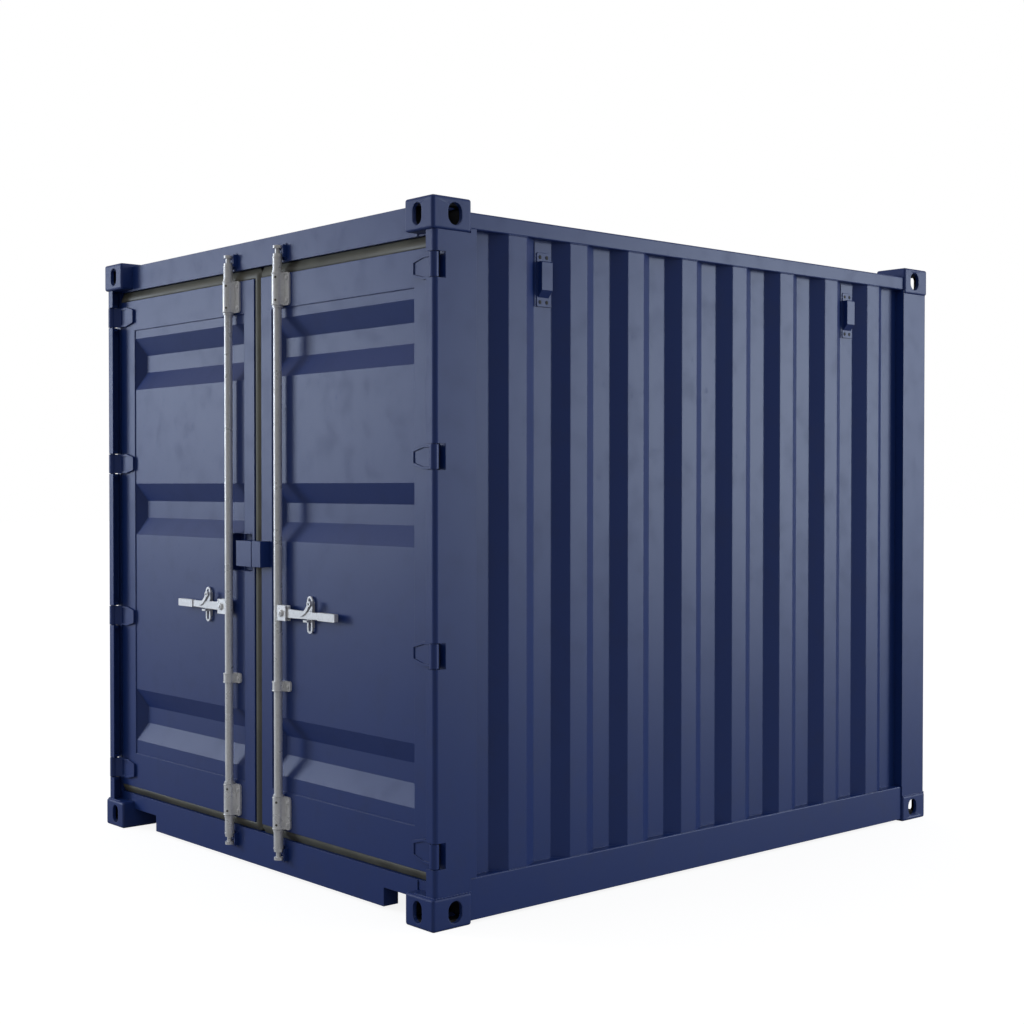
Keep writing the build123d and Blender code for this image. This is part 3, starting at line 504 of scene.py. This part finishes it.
def along_path(corners, step, closed):
    """Even points along straight runs between corners, with the way ahead at each and its distance."""
    corners = np.array(corners, float)
    if closed:
        corners = np.concatenate([corners, corners[:1]])
    runs = np.linalg.norm(np.diff(corners, axis=0), axis=1)
    marks = np.concatenate([[0.0], np.cumsum(runs)])
    count = max(int(round(marks[-1] / step)), 2)
    distance = np.linspace(0.0, marks[-1], count + 1)
    if closed:
        distance = distance[:-1]
    points = np.stack([np.interp(distance, marks, corners[:, axis]) for axis in range(3)], axis=1)
    ahead = np.roll(points, -1, axis=0) - np.roll(points, 1, axis=0)
    if not closed:
        ahead[0] = points[1] - points[0]
        ahead[-1] = points[-1] - points[-2]
    return points, ahead / np.linalg.norm(ahead, axis=1)[:, None], distance


BEAD_STEP = 0.0035
BEAD_PITCH = 0.014
BEAD_SWELL = 0.125
BEAD_SIDES = 6


def weld_beads(name, paths, radius, square, body):
    """Weld beads along paths that lie in a plane, given by the way that stands square to it.

    Each is a six-sided tube round its path, whose radius swells and sinks by an eighth with the
    sine of the distance along it, as the ripples of a weld do.
    """
    square = np.array(square, float)
    around = np.arange(BEAD_SIDES) * 2 * np.pi / BEAD_SIDES
    points, faces = [], []
    shift = 0
    for corners, closed in paths:
        middle, ahead, distance = along_path(corners, BEAD_STEP, closed)
        across = np.cross(square, ahead)
        size = radius * (1 + BEAD_SWELL * np.sin(distance * 2 * np.pi / BEAD_PITCH))
        ring = (across[:, None] * np.cos(around)[None, :, None]
                + square[None, None] * np.sin(around)[None, :, None])
        tube = middle[:, None] + ring * size[:, None, None]
        points.append(tube.reshape(-1, 3))
        faces += [[corner + shift for corner in face]
                  for face in tube_faces(len(middle), len(around), closed)]
        shift += tube.shape[0] * tube.shape[1]
    return finished(name, np.concatenate(points), faces, body, NAVY)


SIDES = {"left": -1.0, "right": 1.0}


# Door seals

SEAL_CORNER = 0.026
SEAL_INNER_CORNER = 0.002
CORNER_POINTS = 9
# Across the strip from the leaf (0) to the frame (1), and into the depth of the strip (0 to 1)
SEAL_PROFILE = np.array([
    (0.02, 1.00), (0.02, 0.07), (0.05, 0.035), (0.12, 0.012), (0.22, 0.0), (0.34, 0.006), (0.45, 0.030),
    (0.55, 0.070), (0.65, 0.12), (0.76, 0.18), (0.88, 0.23), (1.00, 0.27), (0.985, 0.33), (0.88, 0.35),
    (0.80, 0.41), (0.80, 0.47), (0.88, 0.53), (1.00, 0.57), (0.99, 0.64), (0.84, 0.68), (0.74, 0.78),
    (0.70, 1.00),
])


def rounded_loop(x0, x1, z0, z1, radius):
    """A rectangle with round corners, as points anticlockwise from its lower right corner."""
    angle = np.linspace(0.0, np.pi / 2, CORNER_POINTS)
    corners = []
    for turn, (x, z) in enumerate(((x1 - radius, z0 + radius), (x1 - radius, z1 - radius),
                                   (x0 + radius, z1 - radius), (x0 + radius, z0 + radius))):
        bearing = angle + (turn - 1) * np.pi / 2
        corners.append(np.stack([x + radius * np.cos(bearing), z + radius * np.sin(bearing)], axis=1))
    return np.concatenate(corners)


def door_seal(hand):
    """The rubber strip round a leaf: a rounded bulb with two lips, carried round the leaf's edge.

    Each point of the strip lies between a loop on the leaf's edge and a loop against the frame, by
    its share across the profile, and goes in by its share of the strip's depth. The left leaf's
    strip goes all the way round; the right leaf's runs along its top, foot and hinge side.
    """
    low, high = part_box(hand + "_door_gasket")
    leaf_low, leaf_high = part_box(hand + "_door_frame")
    outer = rounded_loop(low.x, high.x, low.z, high.z, SEAL_CORNER)
    inner = rounded_loop(leaf_low.x, leaf_high.x, leaf_low.z, leaf_high.z, SEAL_INNER_CORNER)
    all_round = hand == "left"
    if not all_round:
        hinge_side = slice(2 * CORNER_POINTS)
        outer = np.concatenate([[[low.x, low.z]], outer[hinge_side], [[low.x, high.z]]])
        inner = np.concatenate([[[low.x, leaf_low.z]], inner[hinge_side], [[low.x, leaf_high.z]]])
    share = SEAL_PROFILE[:, 0][None, :, None]
    flat = inner[:, None] * (1 - share) + outer[:, None] * share
    depth = np.broadcast_to(low.y + SEAL_PROFILE[:, 1] * (high.y - low.y), flat.shape[:2])
    points = np.stack([flat[..., 0], depth, flat[..., 1]], axis=-1)
    faces = tube_faces(points.shape[0], points.shape[1], all_round)
    made = finished(hand + "_seal_strip", points, faces, hand + "_door", RUBBER)
    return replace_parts(made, hand + "_door_gasket")


for hand in SIDES:
    door_seal(hand)


# Fasteners of the lock gear

BOLT = turned([(0.0, 0.0098, ROUND), (0.0016, 0.0098, ROUND), (0.0017, 0.0076, HEXAGON),
               (0.0062, 0.0076, HEXAGON), (0.0070, 0.0070, ROUND), (0.0074, 0.0040, ROUND)])
PIVOT_NUT = turned([(0.0, 0.0155, ROUND), (0.0020, 0.0155, ROUND), (0.0021, 0.0118, HEXAGON),
                    (0.0070, 0.0118, HEXAGON), (0.0078, 0.0105, ROUND), (0.0079, 0.0062, ROUND),
                    (0.0105, 0.0060, ROUND), (0.0115, 0.0045, ROUND)])
# A dark plug in the seal's rubber: painted shade standing for a shaded hole in a sleeve
PLUG = turned([(-0.0020, 0.0048, ROUND), (0.0004, 0.0048, ROUND), (0.0009, 0.0038, ROUND),
               (0.0010, 0.0015, ROUND)])
LONG_BRACKET = 0.08
LEAST_GAP_BETWEEN = 0.2
BOLT_FROM_EDGE = 0.0165
BOLT_FROM_END = 0.021
BRACKET_PLATE = 0.006


def bracket_spans(hand):
    """The lowest and highest point of each bracket on a leaf, found from the gaps between its points."""
    mesh = nodes[hand + "_rod_bearings"].data
    places = np.empty(len(mesh.vertices) * 3)
    mesh.vertices.foreach_get("co", places)
    levels = np.unique(np.round(places[2::3], 4))
    breaks = np.where(np.diff(levels) > LEAST_GAP_BETWEEN)[0]
    return list(zip(levels[np.r_[0, breaks + 1]], levels[np.r_[breaks, len(levels) - 1]]))


def bracket_bolts(hand):
    """Hexagon bolts on the flanges of a leaf's brackets: four on a long one, two on the guide."""
    low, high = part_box(hand + "_rod_bearings")
    frame_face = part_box(hand + "_door_frame")[0].y
    panel_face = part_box(hand + "_door_panel")[0].y
    places = []
    for bottom, top in bracket_spans(hand):
        if top - bottom > LONG_BRACKET:
            rows, seat = (bottom + BOLT_FROM_END, top - BOLT_FROM_END), frame_face
        else:
            rows, seat = ((bottom + top) / 2,), panel_face
        places += [(x, seat - BRACKET_PLATE, z)
                   for x in (low.x + BOLT_FROM_EDGE, high.x - BOLT_FROM_EDGE) for z in rows]
    return repeated(hand + "_bracket_bolts", BOLT, places, facing(0), hand + "_door", ZINC)


PIVOT_FROM_CLEVIS_END = 0.029
CLEVIS_FACE = 0.013


def pivot_nut(hand):
    """The nut on the pin that joins a handle to the clevis on its rod."""
    low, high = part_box(hand + "_lock_rod")
    catch_low, catch_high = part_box(hand + "_handle_retainer")
    x = high.x - PIVOT_FROM_CLEVIS_END if hand == "right" else low.x + PIVOT_FROM_CLEVIS_END
    place = (x, (low.y + high.y) / 2 - CLEVIS_FACE, (catch_low.z + catch_high.z) / 2)
    return repeated(hand + "_pivot_nut", PIVOT_NUT, [place], facing(0), hand + "_rod", ZINC)


def rod_axis(hand):
    """Where a lock rod's axis stands in plan: the middle of its brackets across, and of the rod in depth."""
    low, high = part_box(hand + "_rod_bearings")
    rod_low, rod_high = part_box(hand + "_lock_rod")
    return np.array([(low.x + high.x) / 2, (rod_low.y + rod_high.y) / 2])


SLEEVE_RADIUS = 0.023
PLUG_FROM_END = 0.020
PLUG_HEADING = 35.0


def sleeve_hole_shade_plugs(hand):
    """Round dark rubber plugs in the long brackets' sleeves, one near each end, turned to one side: painted
    shade of the sleeves' holes.
    """
    turn = facing(PLUG_HEADING)
    seat = rod_axis(hand) + turn[2, :2] * SLEEVE_RADIUS
    places = [(*seat, level) for bottom, top in bracket_spans(hand) if top - bottom > LONG_BRACKET
              for level in (bottom + PLUG_FROM_END, top - PLUG_FROM_END)]
    return repeated(hand + "_sleeve_hole_shade_plugs", PLUG, places, turn, hand + "_door", RUBBER)


RIM_RADIUS = 0.0215
RIM_THICKNESS = 0.0034
RIM_POINTS = (32, 10)


def sleeve_rims(hand):
    """Raised rims round both ends of each bracket's sleeve, about the lock rod's axis.

    Each is a ring: a small circle carried round a large one that lies level.
    """
    around, about = (np.arange(count) * 2 * np.pi / count for count in RIM_POINTS)
    reach = RIM_RADIUS + RIM_THICKNESS * np.cos(about)[None, :]
    flat = np.stack([reach * np.cos(around)[:, None], reach * np.sin(around)[:, None]], axis=-1)
    rise = np.broadcast_to(RIM_THICKNESS * np.sin(about), flat.shape[:2])
    one = np.concatenate([flat + rod_axis(hand), rise[..., None]], axis=-1).reshape(-1, 3)
    levels = np.array([level for bottom, top in bracket_spans(hand)
                       for level in (bottom + RIM_THICKNESS, top - RIM_THICKNESS)])
    points = one[None] + np.outer(levels, UPRIGHT[2])[:, None]
    quads = np.array(tube_faces(*RIM_POINTS, True))[:, ::-1]
    shift = np.arange(len(levels)) * len(one)
    faces = (quads[None] + shift[:, None, None]).reshape(-1, 4).tolist()
    return finished(hand + "_sleeve_rims", points, faces, hand + "_door", ZINC)


for hand in SIDES:
    bracket_bolts(hand)
    pivot_nut(hand)
    sleeve_hole_shade_plugs(hand)
    sleeve_rims(hand)


# Corner castings

CASTING_EDGE = 0.010
CASTING_EDGE_STEPS = 4
OLD_CORNER = 0.0125
SAME_POINT = 1e-5
ON_PLANE = 1e-4
FLAT_ENOUGH = radians(1.0)
SHARP_ENOUGH = radians(40.0)
SHADED_SHARP = radians(30.0)


def cast_shell(name):
    """A casting's merged surface, with its outer edges weighted for rounding and its inside faces set to the
    second material, a near-black painted shade.

    An edge is an outer one where its middle lies on two of the block's box planes, or on the top or
    bottom plane and beside the outer upright corner, which is already round. A face is inside where
    none of its points lies on a box plane.
    """
    low, high = (np.array(corner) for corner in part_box(name))
    corner = np.where(np.abs(low[:2]) > np.abs(high[:2]), low[:2], high[:2])
    shell = bmesh.new()
    shell.from_mesh(nodes[name].data)
    bmesh.ops.remove_doubles(shell, verts=shell.verts, dist=SAME_POINT)
    bmesh.ops.dissolve_limit(shell, angle_limit=FLAT_ENOUGH, verts=shell.verts, edges=shell.edges)
    weight = shell.edges.layers.float.new("bevel_weight_edge")
    for edge in shell.edges:
        middle = np.array((edge.verts[0].co + edge.verts[1].co) / 2)
        on_planes = (np.abs(middle - low) < ON_PLANE) | (np.abs(middle - high) < ON_PLANE)
        at_corner = np.all(np.abs(middle[:2] - corner) < OLD_CORNER)
        sharp = edge.calc_face_angle(0.0) > SHARP_ENOUGH
        edge[weight] = float(sharp and (on_planes.sum() > 1 or (on_planes[2] and at_corner)))
    for face in shell.faces:
        face.smooth = True
        points = np.array([vertex.co for vertex in face.verts])
        outside = (np.abs(points - low) < ON_PLANE) | (np.abs(points - high) < ON_PLANE)
        # Inside faces take the second material: near-black painted shade in the hollow
        face.material_index = int(not outside.any())
    mesh = bpy.data.meshes.new(name.replace("casting", "cast_block"))
    shell.to_mesh(mesh)
    shell.free()
    mesh.set_sharp_from_angle(angle=SHADED_SHARP)
    return mesh


def rounded_casting(name):
    """A corner casting with its outer edges rounded as cast, and the hollow inside near-black as painted
    shade.
    """
    mesh = cast_shell(name)
    made = linked(mesh.name, mesh)
    mesh.materials.append(CAST)
    mesh.materials.append(UNDERSIDE_AND_HOLLOW_SHADE)
    rounding = made.modifiers.new("rounded_edges", "BEVEL")
    rounding.limit_method = "WEIGHT"
    rounding.width = CASTING_EDGE
    rounding.segments = CASTING_EDGE_STEPS
    rounding.use_clamp_overlap = False
    rounding.loop_slide = False
    rounding.harden_normals = True
    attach(made, "container")
    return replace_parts(made, name)


for name in [name for name in nodes if name.endswith("_casting")]:
    rounded_casting(name)


# Vents high on the side walls

VENT_SEAT = 1.170
VENT_BACK = 0.084
VENT_PLATE = 0.003
VENT_EAR_WIDTH = 0.066
VENT_EAR_HEIGHT = 0.034
VENT_EAR_ROUND = 0.007
VENT_HOOD_WIDTH = 0.054
VENT_HOOD_HEIGHT = 0.133
VENT_HOOD_DROP = 0.072
VENT_HOOD_SLOPE = 0.026
VENT_SCREW_APART = 0.034
VENT_SCREW = turned([(-0.0005, 0.0076, ROUND), (0.0002, 0.0076, ROUND), (0.0010, 0.0070, ROUND),
                     (0.0013, 0.0052, ROUND), (0.0014, 0.0020, ROUND)])


def drawn_out(outline, way):
    """A closed solid: an outline moved along a way, with a flat face on each end."""
    outline, way = np.array(outline, float), np.array(way, float)
    turning = np.cross(outline, np.roll(outline, -1, axis=0)).sum(axis=0)
    if turning @ way < 0:
        outline = outline[::-1]
    return np.stack([outline, outline + way]), tube_faces(2, len(outline), False)


def vent_outlines(side, outer, y, top):
    """The outlines and ways of one vent's back plate, eared plate and hood, and its screws' places."""
    inner = side * VENT_SEAT
    seat = inner + side * VENT_PLATE
    ear_face = seat + side * VENT_PLATE
    hood_top = top - VENT_HOOD_DROP
    hood_bottom = hood_top - VENT_HOOD_HEIGHT
    bottom = hood_bottom - VENT_EAR_HEIGHT
    back = [(inner, y + across * VENT_BACK / 2, z)
            for across, z in ((-1, bottom), (1, bottom), (1, top), (-1, top))]
    half = VENT_EAR_WIDTH / 2
    ears = [(seat, across, z) for across, z in
            rounded_loop(y - half, y + half, bottom, hood_top + VENT_EAR_HEIGHT, VENT_EAR_ROUND)]
    hood_side = y - VENT_HOOD_WIDTH / 2
    hood = [(ear_face, hood_side, hood_bottom), (outer, hood_side, hood_bottom + VENT_HOOD_SLOPE),
            (outer, hood_side, hood_top - VENT_PLATE), (outer - side * VENT_PLATE, hood_side, hood_top),
            (ear_face, hood_side, hood_top)]
    out = (side * VENT_PLATE, 0.0, 0.0)
    screws = [(ear_face, y + across * VENT_SCREW_APART / 2, z) for across in (-1, 1)
              for z in (hood_top + VENT_EAR_HEIGHT / 2, hood_bottom - VENT_EAR_HEIGHT / 2)]
    return [(back, out), (ears, out), (hood, (0.0, VENT_HOOD_WIDTH, 0.0))], screws


def wall_vents():
    """The vents: on each a back plate, a plate with an ear above and below, a hood, and four screws whose
    near-black heads are painted shade of the screw holes.
    """
    low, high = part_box("wall_vents")
    points, faces, shift = [], [], 0
    for hand, side in SIDES.items():
        heads = []
        for y in (low.y + VENT_BACK / 2, high.y - VENT_BACK / 2):
            solids, screws = vent_outlines(side, side * high.x, y, high.z)
            heads += screws
            for outline, way in solids:
                rings, sides = drawn_out(outline, way)
                points.append(rings.reshape(-1, 3))
                faces += [[corner + shift for corner in face] for face in sides]
                shift += len(points[-1])
        # The vents' screw heads are near-black as painted shade
        repeated(hand + "_vent_screws", VENT_SCREW, heads, facing(90 * side), "container",
                 SCREW_HOLE_SHADE)
    made = finished("vent_covers", np.concatenate(points), faces, "container", NAVY,
                    smooth=False)
    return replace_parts(made, "wall_vents")


wall_vents()


# Screws of the deck

DECK_SCREW = turned([(-0.0010, 0.0060, ROUND), (0.0003, 0.0060, ROUND), (0.0005, 0.0050, ROUND),
                     (0.0006, 0.0015, ROUND)], segments=8)
DECK_SCREWS_ACROSS = 10
DECK_SCREW_FROM_EDGE = 0.06
CROSS_MEMBERS = 9
HALF_FLANGE = 0.0225


def deck_screws():
    """Countersunk screws in rows across the deck, one row over the middle of each cross member."""
    low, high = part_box("floor_boards")
    beam_low, beam_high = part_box("cross_members")
    rows = np.linspace(beam_low.y + HALF_FLANGE, beam_high.y - HALF_FLANGE, CROSS_MEMBERS)
    across = np.linspace(low.x + DECK_SCREW_FROM_EDGE, high.x - DECK_SCREW_FROM_EDGE, DECK_SCREWS_ACROSS)
    x, y = np.meshgrid(across, rows)
    places = np.stack([x.ravel(), y.ravel(), np.full(x.size, high.z)], axis=1)
    return repeated("deck_screws", DECK_SCREW, places, UPRIGHT, "container", ZINC)


deck_screws()


# Welds

UPWARDS = (0.0, 0.0, 1.0)
TOWARDS_DOORS = (0.0, -1.0, 0.0)
POST_WELD = 0.0032
WALL_WELD = 0.0026
DOOR_SHEET_WELD = 0.0030


def post_welds():
    """Beads round the posts' ends, where they meet the castings above and below."""
    paths = []
    for hand, side in SIDES.items():
        low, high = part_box(hand + "_door_post")
        casting_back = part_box("front_%s_top_casting" % hand)[1].y
        face = max(abs(low.x), abs(high.x)) * side
        inner = min(abs(low.x), abs(high.x)) * side
        for level in (high.z, low.z):
            paths.append(([(inner, low.y, level), (face, low.y, level), (face, casting_back, level)], False))
        low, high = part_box(hand + "_rear_post")
        cast_low, cast_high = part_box("rear_%s_top_casting" % hand)
        face = max(abs(low.x), abs(high.x)) * side
        inner = min(abs(cast_low.x), abs(cast_high.x)) * side
        for level in (high.z, low.z):
            paths.append(([(face, cast_low.y, level), (face, high.y, level), (inner, high.y, level)], False))
    return weld_beads("post_end_welds", paths, POST_WELD, UPWARDS, "container")


post_welds()

SHEET_THICKNESS = 0.002
RIB_FACE = 0.088
RIB_SLOPE = 0.068
SIDE_RIB_PITCH = 0.3107
REAR_RIB_PITCH = 0.310


def rib_line(start, end, pitch, face, valley):
    """The outside line of a pressed sheet in plan: valleys and faces in turn, the ribs evenly about 0."""
    count = int((end - start) // pitch)
    middle = (np.arange(count) - (count - 1) / 2) * pitch
    half = RIB_FACE / 2
    along = middle[:, None] + np.array([-half - RIB_SLOPE, -half, half, half + RIB_SLOPE])
    out = np.broadcast_to(np.array([valley, face, face, valley]), along.shape)
    return np.stack([np.r_[valley, out.ravel(), valley], np.r_[start, along.ravel(), end]], axis=1)


def wall_welds():
    """Beads along the foot and the head of each pressed sheet, following its ribs."""
    paths = []
    for hand, side in SIDES.items():
        low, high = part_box(hand + "_wall")
        face = max(abs(low.x), abs(high.x)) * side
        valley = face - side * (abs(high.x - low.x) - SHEET_THICKNESS)
        line = rib_line(low.y, high.y, SIDE_RIB_PITCH, face, valley)
        paths += [([(x, y, level) for x, y in line], False) for level in (low.z, high.z)]
    low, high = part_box("rear_wall")
    line = rib_line(low.x, high.x, REAR_RIB_PITCH, high.y, low.y + SHEET_THICKNESS)
    paths += [([(x, y, level) for y, x in line], False) for level in (low.z, high.z)]
    return weld_beads("wall_sheet_welds", paths, WALL_WELD, UPWARDS, "container")


wall_welds()


def panel_welds(hand):
    """The bead round a door sheet, where it is set back in its frame."""
    low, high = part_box(hand + "_door_panel")
    corners = [(low.x, low.y, low.z), (high.x, low.y, low.z),
               (high.x, low.y, high.z), (low.x, low.y, high.z)]
    return weld_beads(hand + "_door_sheet_weld", [(corners, True)], DOOR_SHEET_WELD, TOWARDS_DOORS,
                      hand + "_door")


for hand in SIDES:
    panel_welds(hand)


# Light, backdrop and floor

DAYLIGHT = (0.90, 1.03, 1.20)
DOOR_MIDDLE = (0, -1.5, 1.4)
WALL_MIDDLE = (1.2, 0, 1.4)


def soft_box(name, place, target, size, power, mirrored=True):
    """A rectangular lamp at a place, facing a target; a fill lamp isn't mirrored in gloss."""
    data = bpy.data.lights.new(name, "AREA")
    data.shape = "RECTANGLE"
    data.size, data.size_y = size
    data.energy = power
    data.color = DAYLIGHT
    made = linked(name, data)
    made.visible_glossy = mirrored
    aim = Vector(target) - Vector(place)
    made.matrix_world = Matrix.Translation(place) @ aim.to_track_quat("-Z", "Y").to_matrix().to_4x4()


FLOOR_REACH = 60.0
FLOOR_COLOUR = (0.25, 0.25, 0.25, 1)
FLOOR_ROUGHNESS = 0.95
FLOOR_GLOW = 0.87
FLOOR_MIRRORED_GLOW = 0.05
WHITE = (1, 1, 1, 1)


def background_rays(tree):
    """The Light Path node of a tree, and one for the rays that show a background as it is."""
    rays = tree.nodes.new("ShaderNodeLightPath")
    seen = math_node(tree, "MAXIMUM", rays.outputs["Is Camera Ray"], rays.outputs["Is Transmission Ray"])
    return rays, seen


def floor_material():
    """A grey floor whose own glow shows it white to the camera, with the soft shadow still on it."""
    material, tree, shader, _ = new_material("studio_floor")
    shader.inputs["Base Color"].default_value = FLOOR_COLOUR
    shader.inputs["Roughness"].default_value = FLOOR_ROUGHNESS
    shader.inputs["Specular IOR Level"].default_value = 0.0
    shader.inputs["Emission Color"].default_value = WHITE
    rays, seen = background_rays(tree)
    glow = math_node(tree, "MULTIPLY", seen, FLOOR_GLOW)
    tree.links.new(math_node(tree, "MULTIPLY_ADD", rays.outputs["Is Glossy Ray"], FLOOR_MIRRORED_GLOW, glow),
                   shader.inputs["Emission Strength"])
    return material


AMBIENT = 0.62
DARK_SIDE = (0.85, -0.53, 0.0)
# The leans to the dark side between which mirrored light goes out, and the rises between which it fades
DARK_SIDE_LEAN = (0.00, 0.72)
SKY_RISE = (0.10, 0.60)
SKY_MIRRORED = (0.66, 0.40)


def surround():
    """A white surround; in reflections bright all round but for a dark side towards +X and -Y."""
    world = bpy.data.worlds.new("surround")
    bpy.context.scene.world = world
    world.use_nodes = True
    tree = world.node_tree
    backdrop = tree.nodes["Background"]
    backdrop.inputs["Color"].default_value = WHITE
    way = tree.nodes.new("ShaderNodeTexCoord").outputs["Generated"]
    lean = tree.nodes.new("ShaderNodeVectorMath")
    lean.operation = "DOT_PRODUCT"
    tree.links.new(way, lean.inputs[0])
    lean.inputs[1].default_value = DARK_SIDE
    bright = spread(tree, lean.outputs["Value"], *DARK_SIDE_LEAN, 1.0, 0.0)
    apart = tree.nodes.new("ShaderNodeSeparateXYZ")
    tree.links.new(way, apart.inputs[0])
    sky = spread(tree, apart.outputs["Z"], *SKY_RISE, *SKY_MIRRORED)
    rays, seen = background_rays(tree)
    mirrored_light = math_node(tree, "MULTIPLY", bright, sky)
    glossy = math_node(tree, "MULTIPLY", mirrored_light, rays.outputs["Is Glossy Ray"])
    not_glossy = math_node(tree, "SUBTRACT", 1.0, rays.outputs["Is Glossy Ray"])
    unseen = math_node(tree, "ADD", glossy, math_node(tree, "MULTIPLY", not_glossy, AMBIENT))
    tree.links.new(math_node(tree, "MAXIMUM", seen, unseen), backdrop.inputs["Strength"])


def studio():
    """A wide floor, a white surround and three soft lamps.

    Two stand to the left of the doors, and one on the right side wall's side, towards the rear.
    """
    mesh = bpy.data.meshes.new("studio_floor")
    corners = [(-FLOOR_REACH, -FLOOR_REACH, 0.0), (FLOOR_REACH, -FLOOR_REACH, 0.0),
               (FLOOR_REACH, FLOOR_REACH, 0.0), (-FLOOR_REACH, FLOOR_REACH, 0.0)]
    mesh.from_pydata(corners, [], [(0, 1, 2, 3)])
    floor = linked("studio_floor", mesh)
    mesh.materials.append(floor_material())
    surround()
    soft_box("door_side_lamp", (-10.1, -8.2, 2.9), DOOR_MIDDLE, (3.6, 3.6), 235)
    soft_box("door_side_fill", (-10.1, -7.2, 3.6), DOOR_MIDDLE, (2.0, 2.0), 380, mirrored=False)
    soft_box("wall_side_lamp", (8.9, 9.2, 2.7), WALL_MIDDLE, (3.5, 5.0), 435)


studio()
bpy.context.scene.view_settings.view_transform = "Standard"
